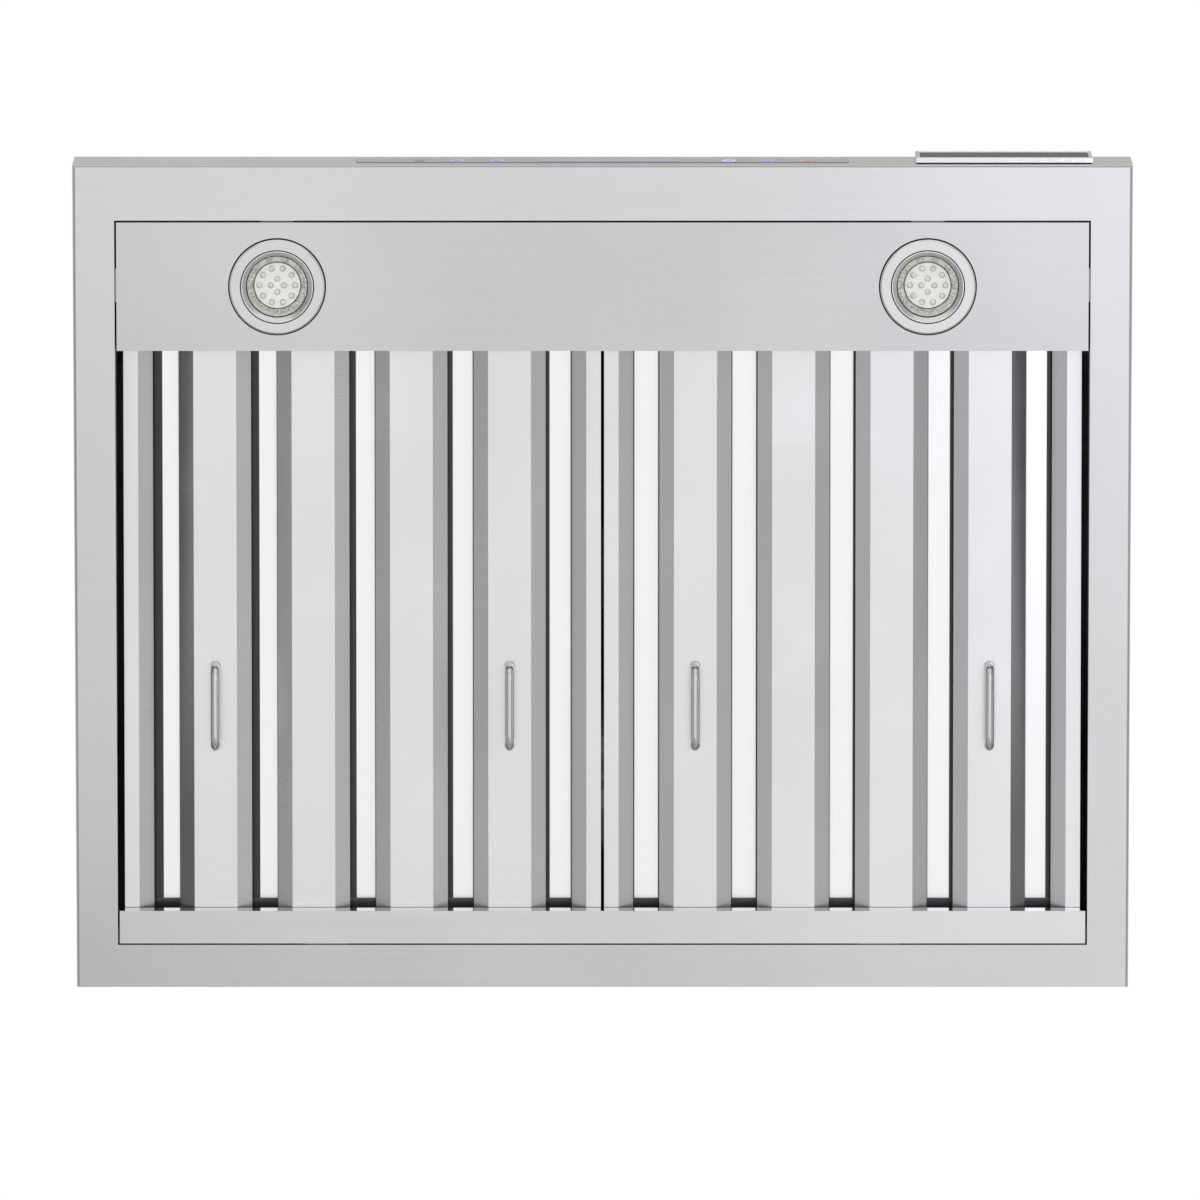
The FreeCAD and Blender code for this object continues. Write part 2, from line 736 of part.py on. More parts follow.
def damper_flap(side):
    height = canopy_height + damper_height
    radius = collar_radius - collar_wall - damper_rim_gap
    disc = rod(radius, vec(0, collar_y, height - damper_sheet / 2), vec(0, 0, 1), damper_sheet)
    edge = sorted((side * (damper_knuckle_radius + damper_knuckle_gap), side * collar_radius))
    half_disc = disc.common(block(edge[0], edge[1], collar_y - radius, collar_y + radius,
                                  height - damper_sheet, height + damper_sheet))
    pieces = [half_disc]
    step = damper_knuckle_length + damper_knuckle_gap
    for place in (-2, 1):
        start = collar_y + (place + (1 + side) / 2) * step
        barrel = rod(damper_knuckle_radius, vec(0, start, height), vec(0, 1, 0), damper_knuckle_length)
        reach = sorted((0, side * (damper_knuckle_radius + 2 * damper_knuckle_gap)))
        arm = block(reach[0], reach[1], start, start + damper_knuckle_length,
                    height - damper_sheet / 2, height + damper_sheet / 2)
        pieces.append(barrel)
        pieces.append(arm)
    return joined(pieces).cut(damper_rod(running_gap, 2 * collar_radius))


def rounded_box(inset, height):
    right = top_width / 2 - box_side_gap
    box = block(right - box_length + inset, right - inset, -box_wall_gap - box_depth + inset,
                -box_wall_gap - inset, canopy_height, canopy_height + height)
    upright = [edge for edge in box.Edges if edge.BoundBox.ZLength > height / 2]
    return box.makeFillet(box_corner - inset, upright)


def gland_centre():
    return vec(top_width / 2 - box_side_gap - box_length / 2, -box_wall_gap - box_depth / 2, 0)


def junction_box():
    shell = rounded_box(0, box_height).cut(rounded_box(box_sheet, box_height - box_sheet))
    inside = gland_centre() + vec(0, 0, canopy_height + box_height / 2)
    return shell.cut(rod(gland_bore, inside, vec(0, 0, 1), box_height))


def cable_gland():
    base = canopy_height + box_height
    neck = base + gland_base_height
    nut = neck + gland_neck_height
    end = nut + gland_nut_height
    waist = gland_radius - gland_neck_inset
    profile = [(gland_bore, base), (gland_radius, base), (gland_radius, neck), (waist, neck), (waist, nut),
               (gland_radius, nut), (gland_radius - gland_nut_taper, end), (gland_bore, end)]
    return turned(profile, gland_centre())


def cover_outline(inset):
    """A three-sided cover seen from above, with its returns along the wall."""
    half = chimney_width / 2 - inset
    front = -chimney_depth + inset
    line = [(-half + cover_return, -inset), (-half, -inset), (-half, front), (half, front),
            (half, -inset), (half - cover_return, -inset)]
    return folded(line, sheet)


def cover_screws(shank_length, extra):
    """The four screws at the lower cover's foot, each with its shank of that length grown by extra."""
    shank = cover_screw_shank + extra
    head = cover_screw_radius
    crown = cover_screw_head
    profile = [(0, -shank_length), (shank, -shank_length), (shank, 0), (head, 0), (head, crown / 2),
               (head / 2, crown), (0, crown)]
    screws = []
    for _, side in sides:
        outward = FreeCAD.Rotation(vec(0, 0, 1), vec(side, 0, 0))
        for y in (-cover_screw_inset, -chimney_depth + cover_screw_inset):
            centre = vec(side * chimney_width / 2, y, canopy_height + cover_screw_height)
            screws.append(turned(profile, centre, outward))
    return Part.makeCompound(screws)


def cover_screw_holes():
    return cover_screws(2 * cover_screw_length, running_gap)


def chimney_screws():
    return cover_screws(cover_screw_length, 0)


def chimney_lower():
    cover = along_z(cover_outline(0), canopy_height, canopy_height + lower_cover_height)
    return cover.cut(cover_screw_holes())


def upper_cover_bottom():
    return canopy_height + lower_cover_height - cover_overlap


def chimney_upper():
    bottom = upper_cover_bottom()
    top = bottom + upper_cover_height
    cover = along_z(cover_outline(sheet + cover_gap), bottom, top)
    for index in range(slot_count):
        z = top - slot_top_margin - index * slot_pitch
        middle = -chimney_depth / 2
        slot = block(-chimney_width, chimney_width, middle - slot_length / 2, middle + slot_length / 2,
                     z - slot_height, z)
        cover = cover.cut(slot)
    return cover


def chimney_bracket():
    """Strip on the wall that steps over the upper cover's returns and holds its two sides from inside."""
    inside = chimney_width / 2 - 2 * sheet - cover_gap
    clear_of_return = chimney_width / 2 - sheet - cover_gap - cover_return - 2 * sheet
    step = 2 * sheet + cover_gap + seat_gap
    line = [(inside, -wall_bracket_arm), (inside, -step), (clear_of_return, -step), (clear_of_return, 0),
            (-clear_of_return, 0), (-clear_of_return, -step), (-inside, -step), (-inside, -wall_bracket_arm)]
    top = upper_cover_bottom() + upper_cover_height - wall_bracket_drop
    strip = along_z(folded(line, wall_bracket_sheet), top - wall_bracket_height, top)
    for _, side in sides:
        start = vec(side * wall_bracket_screw_spacing / 2, -step, top - wall_bracket_height / 2)
        strip = strip.cut(rod(wall_bracket_hole_radius, start, vec(0, 1, 0), 2 * step))
    return strip


def save(name, shape):
    lowered = shape.translated(vec(0, 0, -hanging_height))
    lowered.exportStep("parts/" + name + ".step")
    print(name, "solids", len(lowered.Solids), "valid", lowered.isValid(), "volume", round(lowered.Volume))


os.makedirs("parts", exist_ok=True)

save("canopy_skirt", canopy_skirt())
save("canopy_front", canopy_front())
save("canopy_top", canopy_top())
save("back_panel", back_panel())
save("light_panel", light_panel())
save("control_glass", control_glass())
save("control_housing", control_housing())
save("grease_tray", grease_tray())
save("tray_clips", tray_clips())
save("scroll_wrap", scroll_wrap())
save("impeller", impeller())
save("motor_shaft", motor_shaft())
save("motor", motor())
save("motor_bracket", motor_bracket())
save("outlet_collar", outlet_collar())
save("damper_pin", damper_rod(0, 2 * (collar_radius - seat_gap)))
save("junction_box", junction_box())
save("cable_gland", cable_gland())
save("chimney_lower", chimney_lower())
save("chimney_upper", chimney_upper())
save("chimney_bracket", chimney_bracket())
save("chimney_screws", chimney_screws())
for side_name, side_sign in sides:
    save("canopy_side_" + side_name, canopy_side(side_sign))
    save("scroll_side_" + side_name, scroll_side(side_sign))
    save("damper_flap_" + side_name, damper_flap(side_sign))
    save("filter_frame_" + side_name, seat_filter(filter_frame(), side_sign))
    save("lower_baffles_" + side_name, seat_filter(lower_baffles(), side_sign))
    save("upper_baffles_" + side_name, seat_filter(upper_baffles(), side_sign))
    save("filter_handles_" + side_name, seat_filter(filter_handles(), side_sign))
    for part_name, part_shape in lamp_parts(side_sign).items():
        save(part_name + "_" + side_name, part_shape)
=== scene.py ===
# %% [markdown]
# A wall mount range hood in brushed stainless steel, seen from below, where its filters, lamps and grease
# tray are. Its sheets could be modelled again here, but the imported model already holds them. So it is
# loaded as a fixed frame, whose pieces are neither moved nor reshaped, and this lesson adds the finishes,
# the small trim, a studio and a camera around it.

# %% Load the frame
import bmesh
import bpy
import json
import math
from mathutils import Matrix, Vector


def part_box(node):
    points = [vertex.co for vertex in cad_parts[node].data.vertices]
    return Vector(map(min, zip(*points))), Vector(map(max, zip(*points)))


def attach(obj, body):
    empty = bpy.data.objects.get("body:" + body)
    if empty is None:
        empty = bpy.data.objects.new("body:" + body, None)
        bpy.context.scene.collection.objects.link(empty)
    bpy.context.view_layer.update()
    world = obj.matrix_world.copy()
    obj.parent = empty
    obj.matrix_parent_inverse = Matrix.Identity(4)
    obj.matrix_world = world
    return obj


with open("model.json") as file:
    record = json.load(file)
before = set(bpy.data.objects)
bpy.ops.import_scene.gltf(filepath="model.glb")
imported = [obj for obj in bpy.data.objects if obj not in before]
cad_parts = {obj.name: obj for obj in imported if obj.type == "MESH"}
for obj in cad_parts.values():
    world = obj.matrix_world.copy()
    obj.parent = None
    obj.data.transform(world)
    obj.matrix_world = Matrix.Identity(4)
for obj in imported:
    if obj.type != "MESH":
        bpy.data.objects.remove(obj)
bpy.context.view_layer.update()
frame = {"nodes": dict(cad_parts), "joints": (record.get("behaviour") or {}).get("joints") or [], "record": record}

# %% [markdown]
# A few places are needed again and again: the height of the rim, the front of the lip, the panel of the
# lamps and the slope of the filters. They could be typed in as numbers, but such numbers go stale when
# the model changes. So they are read from the boxes of the nodes and from the axis along which a filter
# slides.

# %% Places read from the frame
skirt_low = Vector(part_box("canopy_skirt")[0])
rim_z = skirt_low.z
front_y = skirt_low.y
panel_low = Vector(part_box("light_panel")[0])
glass_low, glass_high = (Vector(corner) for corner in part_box("control_glass"))
shift_axis = Vector(next(joint["axis"] for joint in frame["joints"] if joint["name"] == "left_filter_shift"))
filter_slope = math.atan2(shift_axis.z, -shift_axis.y)
strip_low, strip_high = (Vector(corner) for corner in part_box("lower_baffles_left"))
filter_face_z = strip_low.z + strip_high.y * math.tan(filter_slope)
print("rim at", round(rim_z, 4), "filter slope", round(math.degrees(filter_slope), 2), "degrees")

# %% [markdown]
# The camera looks up from below and a little in front, so that the underside fills the picture and a
# sliver of the front face shows. A near camera would make the rim a trapezoid, and a lens shift would
# follow the camera into every other view. A long lens from far away keeps the sides of the rim nearly
# parallel without either.

# %% Camera
CAMERA_DISTANCE = 10.0
CAMERA_TILT = math.radians(9.0)
CAMERA_REACH = 100.0
FRAME_WIDTH = 0.866
SENSOR_MM = 36.0
AIM_X = -0.0018
AIM_Y = -0.284
aim = Vector((AIM_X, AIM_Y, rim_z))
look = Vector((0, math.sin(CAMERA_TILT), math.cos(CAMERA_TILT)))
picture_up = Vector((0, -math.cos(CAMERA_TILT), math.sin(CAMERA_TILT)))
camera_data = bpy.data.cameras.new("camera")
camera_data.sensor_width = SENSOR_MM
camera_data.lens = SENSOR_MM * CAMERA_DISTANCE / FRAME_WIDTH
camera_data.clip_end = CAMERA_REACH
camera = bpy.data.objects.new("camera", camera_data)
camera_turn = Matrix((look.cross(picture_up), picture_up, -look)).transposed()
camera.matrix_world = Matrix.Translation(aim - look * CAMERA_DISTANCE) @ camera_turn.to_4x4()
bpy.context.scene.collection.objects.link(camera)
bpy.context.scene.camera = camera
print("lens", round(camera_data.lens, 1), "mm")

# %% [markdown]
# A finish is a graph of nodes, and a mesh shows only through an object in the scene. Both take the same
# few lines every time, which could be written out for each finish and each piece. Three helpers do it
# instead: one starts an empty material, one puts a finished bmesh into the scene, and one adds a maths
# node.

# %% Helpers for nodes and meshes
def new_material(name):
    """An empty material, with its nodes, its links and its output."""
    material = bpy.data.materials.new(name)
    material.use_nodes = True
    nodes = material.node_tree.nodes
    nodes.clear()
    output = nodes.new("ShaderNodeOutputMaterial")
    return material, nodes, material.node_tree.links, output


def add_mesh_object(name, bm):
    """An object at the origin that shows a finished bmesh."""
    mesh = bpy.data.meshes.new(name)
    bm.to_mesh(mesh)
    bm.free()
    made = bpy.data.objects.new(name, mesh)
    bpy.context.scene.collection.objects.link(made)
    return made


def combine(nodes, links, operation, first, second):
    """A maths node. Either input is a socket of another node or a plain number."""
    node = nodes.new("ShaderNodeMath")
    node.operation = operation
    for socket, value in zip(node.inputs, (first, second)):
        if isinstance(value, (int, float)):
            socket.default_value = value
        else:
            links.new(value, socket)
    return node.outputs[0]


# %% [markdown]
# Steel has no colour of its own: its greys are what it mirrors, so the studio comes before the finishes.
# First comes a white floor far below. An ordinary white floor would need so much light that the steel
# would burn out. Here a Light Path node tells the rays apart: the camera, mirrors and glass see an even
# white, while the rays that carry light find a plain pale floor.

# %% White floor
FLOOR_DROP = 18.0
FLOOR_RADIUS = 19.0
FLOOR_SEGMENTS = 64
FLOOR_GREY = (0.85, 0.85, 0.85, 1)
WHITE = (1, 1, 1, 1)


def white_where_seen(nodes, links, light_shader, white_shader):
    """The white shader for rays that look at it, and the other one for rays that carry light."""
    rays = nodes.new("ShaderNodeLightPath").outputs
    seen = combine(nodes, links, "MAXIMUM", rays["Is Camera Ray"], rays["Is Glossy Ray"])
    seen = combine(nodes, links, "MAXIMUM", seen, rays["Is Transmission Ray"])
    mix = nodes.new("ShaderNodeMixShader")
    links.new(seen, mix.inputs["Fac"])
    links.new(light_shader.outputs[0], mix.inputs[1])
    links.new(white_shader.outputs[0], mix.inputs[2])
    return mix.outputs[0]


def floor_material():
    """Pale for light, and white for whatever looks at it."""
    material, nodes, links, output = new_material("studio_floor")
    pale = nodes.new("ShaderNodeBsdfDiffuse")
    pale.inputs["Color"].default_value = FLOOR_GREY
    glow = nodes.new("ShaderNodeEmission")
    glow.inputs["Color"].default_value = WHITE
    glow.inputs["Strength"].default_value = 1.0
    links.new(white_where_seen(nodes, links, pale, glow), output.inputs["Surface"])
    return material


floor_bm = bmesh.new()
bmesh.ops.create_circle(floor_bm, cap_ends=True, radius=FLOOR_RADIUS, segments=FLOOR_SEGMENTS)
bmesh.ops.translate(floor_bm, verts=floor_bm.verts, vec=(0, 0, rim_z - FLOOR_DROP))
floor = add_mesh_object("studio_floor", floor_bm)
floor.data.materials.append(floor_material())
print("floor", FLOOR_DROP, "m below the rim")

# %% [markdown]
# The world behind everything follows the same rule as the floor: white where something looks at it, and a
# soft grey light otherwise. A sky or a room could light the hood too, but the steel would mirror it. The
# Standard view keeps a colour on the screen as it is written here.

# %% White world
SOFT_GREY = (0.8, 0.8, 0.8, 1)
SOFT_STRENGTH = 0.7
world = bpy.data.worlds.new("studio_world")
world.use_nodes = True
bpy.context.scene.world = world
world_nodes = world.node_tree.nodes
world_links = world.node_tree.links
world_nodes.clear()
world_output = world_nodes.new("ShaderNodeOutputWorld")
white_light = world_nodes.new("ShaderNodeBackground")
white_light.inputs["Color"].default_value = WHITE
white_light.inputs["Strength"].default_value = 1.0
soft_light = world_nodes.new("ShaderNodeBackground")
soft_light.inputs["Color"].default_value = SOFT_GREY
soft_light.inputs["Strength"].default_value = SOFT_STRENGTH
world_mix = white_where_seen(world_nodes, world_links, soft_light, white_light)
world_links.new(world_mix, world_output.inputs["Surface"])
bpy.context.scene.view_settings.view_transform = "Standard"
print("world", world.name, "view", bpy.context.scene.view_settings.view_transform)

# %% [markdown]
# Grain, smudges and painted shade lie at certain places of the hood. They could be painted on an unwrapped
# mesh, but a rule on Object coordinates needs no unwrapping, and those coordinates are metres in the frame.
# These helpers give such a place, split it into its axes, and stretch a span of values to another span.

# %% Nodes that read a place
def object_place(nodes):
    """Where a point of the surface is, in metres in the frame."""
    return nodes.new("ShaderNodeTexCoord").outputs["Object"]


def axes_of(nodes, links, vector):
    """The X, Y and Z of a place or a normal."""
    split = nodes.new("ShaderNodeSeparateXYZ")
    links.new(vector, split.inputs[0])
    return split.outputs


def spread(nodes, links, value, low, high, from_low=0.3, from_high=0.7):
    """Stretch a value from one span to another and hold it inside the new span."""
    span = nodes.new("ShaderNodeMapRange")
    span.inputs["From Min"].default_value = from_low
    span.inputs["From Max"].default_value = from_high
    span.inputs["To Min"].default_value = low
    span.inputs["To Max"].default_value = high
    links.new(value, span.inputs["Value"])
    return span.outputs[0]


# %% [markdown]
# A photographer of steel stands grey cards around it. Flat strips that face down mirror the white floor,
# and slanted ones mirror a card at the side, which is what makes the folds of the filters readable. A
# card could have one grey, but one that fades from dark to light gives each strip a tone of its own, as a
# real room does. The cards are hidden from the camera, and they throw no light or shadow.

# %% A card
def card_material(name, top_z, top_colour, foot_z, foot_colour):
    """A glow whose colour runs evenly from one height to another."""
    material, nodes, links, output = new_material(name)
    height = axes_of(nodes, links, object_place(nodes))["Z"]
    fade = nodes.new("ShaderNodeMix")
    fade.data_type = "RGBA"
    links.new(spread(nodes, links, height, 0.0, 1.0, top_z, foot_z), fade.inputs[0])
    # A mix of colours has its two colours in inputs 6 and 7, and its result in output 2.
    fade.inputs[6].default_value = (*top_colour, 1)
    fade.inputs[7].default_value = (*foot_colour, 1)
    glow = nodes.new("ShaderNodeEmission")
    glow.inputs["Strength"].default_value = 1.0
    links.new(fade.outputs[2], glow.inputs["Color"])
    links.new(glow.outputs[0], output.inputs["Surface"])
    return material


def add_card(name, matrix, material):
    """A square of one metre, stretched and placed by the matrix, that only reflections see."""
    card_bm = bmesh.new()
    bmesh.ops.create_grid(card_bm, x_segments=1, y_segments=1, size=0.5, matrix=matrix)
    card = add_mesh_object(name, card_bm)
    card.data.materials.append(material)
    card.visible_camera = False
    card.visible_diffuse = False
    card.visible_shadow = False
    card.visible_transmission = False
    print("card", name)


print("materials so far", len(bpy.data.materials))

# %% [markdown]
# Three cards stand round the hood, at its left, its right and its rear. Each is dark at the top and light
# farther down, and the depth at which it is light sets how pale the slants are that mirror it. One bent
# card could go all round, but three flat ones can each have a depth of their own, and the right one turns
# light the soonest.

# %% Cards at the sides and the rear
CARD_X = 1.0
CARD_DEPTH = 3.0
CARD_TOP = 0.2
CARD_FOOT = 1.5
CARD_MIDDLE_Y = -0.3
DARK_DROP = 0.2
LIGHT_DROPS = {"left_card": 0.55, "right_card": 0.42, "rear_card": 0.55}
CARD_DARK = (0.055, 0.057, 0.064)
CARD_LIGHT = (0.52, 0.524, 0.535)
card_middle_z = rim_z - (CARD_TOP + CARD_FOOT) / 2
side_size = Matrix.Diagonal((CARD_FOOT - CARD_TOP, CARD_DEPTH, 1, 1))
rear_size = Matrix.Diagonal((2 * CARD_X, CARD_FOOT - CARD_TOP, 1, 1))
rear_stand = Matrix.Translation((0, CARD_X, card_middle_z)) @ Matrix.Rotation(math.pi / 2, 4, "X")
stands = {"rear_card": rear_stand @ rear_size}
for name, x in (("left_card", -CARD_X), ("right_card", CARD_X)):
    side_place = Matrix.Translation((x, CARD_MIDDLE_Y, card_middle_z))
    stands[name] = side_place @ Matrix.Rotation(math.pi / 2, 4, "Y") @ side_size
for name, stand in stands.items():
    grey = card_material(name, rim_z - DARK_DROP, CARD_DARK, rim_z - LIGHT_DROPS[name], CARD_LIGHT)
    add_card(name, stand, grey)

# %% [markdown]
# Two lying tiles tune the flat steel: a bright, slightly cool one to the right and in front, and a dim,
# warm one at the back and to the left, so that the rim brightens across the picture. A grey ceiling keeps
# the front face, which mirrors only what is above, from turning white. The steel itself could be made
# paler on one side, but then it would stay so in every other view.

# %% Tiles and ceiling
TILE_DROP = 2.0
TILE_SIZE = (1.3, 1.6)
TILES = (("bright_tile", (1.08, -0.95), (1.6, 1.62, 1.82)), ("shade_tile", (-0.5, 1.1), (0.5, 0.49, 0.46)))
CEILING_HEIGHT = 3.0
CEILING_SIZE = 6.0
CEILING_GREY = (0.55, 0.55, 0.54)
for name, place, colour in TILES:
    tile_place = Matrix.Translation((*place, rim_z - TILE_DROP))
    tile_glow = card_material(name, 0, colour, 1, colour)
    add_card(name, tile_place @ Matrix.Diagonal((*TILE_SIZE, 1, 1)), tile_glow)
ceiling_grey = card_material("ceiling_card", 0, CEILING_GREY, CEILING_HEIGHT, CEILING_GREY)
ceiling_place = Matrix.Translation((0, 0, CEILING_HEIGHT))
add_card("ceiling_card", ceiling_place @ Matrix.Diagonal((CEILING_SIZE, CEILING_SIZE, 1, 1)), ceiling_grey)

# %% [markdown]
# Paint, plastic and the lamps' white plates do not mirror, so they need real light. Small lamps would
# throw hard shadows, so there are three broad softboxes at a plain level. Mirrors don't see the
# softboxes, because their square images would lie across the steel.

# %% Softboxes
SOFTBOX_POWER = 60.0
SOFTBOXES = {
    "left_softbox": ((-2.6, -2.2, -2.4), 1.6),
    "right_softbox": ((2.6, -1.6, -2.6), 1.6),
    "top_softbox": ((0.8, -2.6, 3.2), 2.0),
}
lit_middle = Vector((0, CARD_MIDDLE_Y, rim_z))
for name, ((x, y, above_rim), size) in SOFTBOXES.items():
    box_data = bpy.data.lights.new(name, "AREA")
    box_data.shape = "SQUARE"
    box_data.size = size
    box_data.energy = SOFTBOX_POWER
    softbox = bpy.data.objects.new(name, box_data)
    softbox.visible_glossy = False
    box_place = Vector((x, y, rim_z + above_rim))
    box_turn = (lit_middle - box_place).to_track_quat("-Z", "Y").to_matrix()
    softbox.matrix_world = Matrix.Translation(box_place) @ box_turn.to_4x4()
    bpy.context.scene.collection.objects.link(softbox)
    print("softbox", name, size, "m square")

# %% [markdown]
# No real surface is even: its colour, its gloss and its height all waver a little. A picture of a surface
# could bring that in, but it repeats and blurs when the eye comes near. A noise texture does neither. The
# helpers here add such a noise, give a grey tone its tint, and turn a noise into height.

# %% Nodes for noise, tint and height
def add_noise(nodes, links, place, scale, detail=3.0, stretch=(1, 1, 1)):
    """A noise that may be finer along one axis than along another."""
    mapping = nodes.new("ShaderNodeMapping")
    mapping.inputs["Scale"].default_value = stretch
    links.new(place, mapping.inputs["Vector"])
    noise = nodes.new("ShaderNodeTexNoise")
    noise.inputs["Scale"].default_value = scale
    noise.inputs["Detail"].default_value = detail
    links.new(mapping.outputs[0], noise.inputs["Vector"])
    return noise.outputs["Fac"]


def tinted(nodes, links, tone, tint):
    """A colour: the tone times the red, green and blue of the tint."""
    colour = nodes.new("ShaderNodeCombineColor")
    for channel, share in zip(("Red", "Green", "Blue"), tint):
        links.new(combine(nodes, links, "MULTIPLY", tone, share), colour.inputs[channel])
    return colour.outputs[0]


BUMP_DEPTH = 0.0003


def add_bump(nodes, links, shader, height, strength):
    """Let a noise tilt the normals of a shader, as fine scratches do."""
    bump = nodes.new("ShaderNodeBump")
    bump.inputs["Strength"].default_value = strength
    bump.inputs["Distance"].default_value = BUMP_DEPTH
    links.new(height, bump.inputs["Height"])
    links.new(bump.outputs[0], shader.inputs["Normal"])


print("bumps are up to", BUMP_DEPTH * 1000, "mm deep")

# %% [markdown]
# Brushed steel is rolled sheet that a belt has scratched all one way. A picture of scratches could be
# wrapped around it, but it would stretch at the folds. A noise that is fine across the grain and long
# along it needs no wrapping. It changes the tint, the roughness and the tiny height together, and a broad
# noise adds the faint clouds and smudges that handled sheet has.

# %% Brushed steel
GRAIN_ALONG = 3.0
GRAIN_ACROSS = 1100.0
CLOUD_SCALE = 4.0
CLOUD_ROUGHNESS = 0.03
SMUDGE_SCALE = 16.0
SMUDGE_START = 0.56
SMUDGE_FULL = 0.7
STEEL_TINT = (1, 1, 1.005)


def brushed_steel(name, level, roughness, grain_axes, swing=0.018, cloud=0.035, smudge=0.0, bump=0.035,
                  shade=None):
    """Steel with its grain along the given axes. A shade, where there is one, darkens it by place."""
    material, nodes, links, output = new_material(name)
    place = object_place(nodes)
    stretch = tuple(GRAIN_ALONG if axis in grain_axes else GRAIN_ACROSS for axis in "xyz")
    grain = add_noise(nodes, links, place, 1.0, 4.0, stretch)
    clouds = add_noise(nodes, links, place, CLOUD_SCALE, 2.0)
    grain_tone = spread(nodes, links, grain, level - swing, level + swing)
    tone = combine(nodes, links, "ADD", grain_tone, spread(nodes, links, clouds, -cloud, cloud))
    grain_rough = spread(nodes, links, grain, roughness - 2 * swing, roughness + 2 * swing)
    cloud_rough = spread(nodes, links, clouds, -CLOUD_ROUGHNESS, CLOUD_ROUGHNESS)
    rough = combine(nodes, links, "ADD", grain_rough, cloud_rough)
    if smudge:
        smears = add_noise(nodes, links, place, SMUDGE_SCALE, 5.0)
        smears = spread(nodes, links, smears, 0.0, smudge, SMUDGE_START, SMUDGE_FULL)
        tone = combine(nodes, links, "ADD", tone, smears)
        rough = combine(nodes, links, "ADD", rough, smears)
    if shade:
        tone = combine(nodes, links, "MULTIPLY", tone, shade(nodes, links, place))
    steel = nodes.new("ShaderNodeBsdfPrincipled")
    steel.inputs["Metallic"].default_value = 1.0
    links.new(tinted(nodes, links, tone, STEEL_TINT), steel.inputs["Base Color"])
    links.new(rough, steel.inputs["Roughness"])
    add_bump(nodes, links, steel, grain, bump)
    links.new(steel.outputs[0], output.inputs["Surface"])
    return material


steels = {
    "canopy": brushed_steel("canopy_brushed_steel", 0.68, 0.33, "x"),
    "side": brushed_steel("side_brushed_steel", 0.68, 0.33, "y"),
    "panel": brushed_steel("panel_brushed_steel", 0.64, 0.32, "x", cloud=0.045),
    "chimney": brushed_steel("chimney_brushed_steel", 0.64, 0.34, "z"),
    "wire": brushed_steel("wire_steel", 0.64, 0.15, "y", swing=0.02),
    "spring": brushed_steel("spring_steel", 0.5, 0.3, "x"),
}
print("steels", sorted(material.name for material in steels.values()))

# %% [markdown]
# The skirt gets painted shade: a dark line in its bends, and a dark gap round the opening, where the inner
# flange above the rim lies in shade. It could be painted on by hand, but here it follows two rules. A bend
# is where the normal of the sheet looks along no axis, and the gap is the skirt's inner flange above the
# rim. A rule in the material needs no painting when the model changes.

# %% Shade in bends and gaps
BEND_SHADE = 0.5
BEND_NORMAL = 0.75
FLAT_NORMAL = 0.995
GAP_SHADE = 0.2
RIM_INNER = 0.012
RIM_OUTER = 0.008
GAP_FULL_HEIGHT = 0.003
GAP_START_HEIGHT = 0.0008


def face_normal(nodes):
    """The direction in which a face of the mesh looks."""
    return nodes.new("ShaderNodeNewGeometry").outputs["True Normal"]


def bend_shade(nodes, links):
    """Painted shade, darker where the sheet is bent: there no axis has a large share of the normal."""
    axes = axes_of(nodes, links, face_normal(nodes))
    largest = 0.0
    for axis in "XYZ":
        share = combine(nodes, links, "ABSOLUTE", axes[axis], 0.0)
        largest = combine(nodes, links, "MAXIMUM", share, largest)
    return spread(nodes, links, largest, BEND_SHADE, 1.0, BEND_NORMAL, FLAT_NORMAL)


def skirt_shade(nodes, links, place):
    """Painted shade in the bends, and on the flange inside the opening, which is dark above the rim."""
    axes = axes_of(nodes, links, place)
    from_middle = combine(nodes, links, "ABSOLUTE", axes["X"], 0.0)
    past_side = combine(nodes, links, "ADD", from_middle, skirt_low.x)
    past_front = combine(nodes, links, "SUBTRACT", front_y, axes["Y"])
    past_edge = combine(nodes, links, "MAXIMUM", past_side, past_front)
    past_edge = combine(nodes, links, "MAXIMUM", past_edge, axes["Y"])
    inside = spread(nodes, links, past_edge, 1.0, 0.0, -RIM_INNER, -RIM_OUTER)
    above = spread(nodes, links, axes["Z"], 0.0, 1.0, rim_z + GAP_START_HEIGHT, rim_z + GAP_FULL_HEIGHT)
    flange = combine(nodes, links, "MULTIPLY", inside, above)
    gap = spread(nodes, links, flange, 1.0, GAP_SHADE, 0.0, 1.0)
    return combine(nodes, links, "MULTIPLY", gap, bend_shade(nodes, links))


# The skirt's steel carries painted shade in its bends and in the gap round the opening.
steels["skirt"] = brushed_steel("skirt_brushed_steel", 0.7, 0.33, "x", shade=skirt_shade)
print("skirt", steels["skirt"].name)

# %% [markdown]
# The filters get painted shade. A frame darkens with depth, where little light reaches, and on the strips
# the outermost slants, which look to a side of the hood, where the skirt keeps the room's light from them,
# are darker, the more so towards the rear. They could be picked out by their number and given a second
# material. The normal's X times the place's X finds them without counting: it is large only where a slant
# far from the middle looks outwards.

# %% Shade in the filters
DEPTH_SHADE = 0.2
SHADE_START_DEPTH = 0.004
SHADE_FULL_DEPTH = 0.02
SIDE_SHADE = 0.45
OUTWARD_START = 0.12
OUTWARD_FULL = 0.145
REAR_SHADE_START_Y = -0.36
REAR_SHADE_FULL_Y = -0.12


def depth_shade(nodes, links, place):
    """Painted shade, darker deep inside a filter, where little light reaches."""
    axes = axes_of(nodes, links, place)
    fall = combine(nodes, links, "MULTIPLY", axes["Y"], math.tan(filter_slope))
    height = combine(nodes, links, "ADD", axes["Z"], fall)
    depth = combine(nodes, links, "SUBTRACT", height, filter_face_z)
    return spread(nodes, links, depth, 1.0, DEPTH_SHADE, SHADE_START_DEPTH, SHADE_FULL_DEPTH)


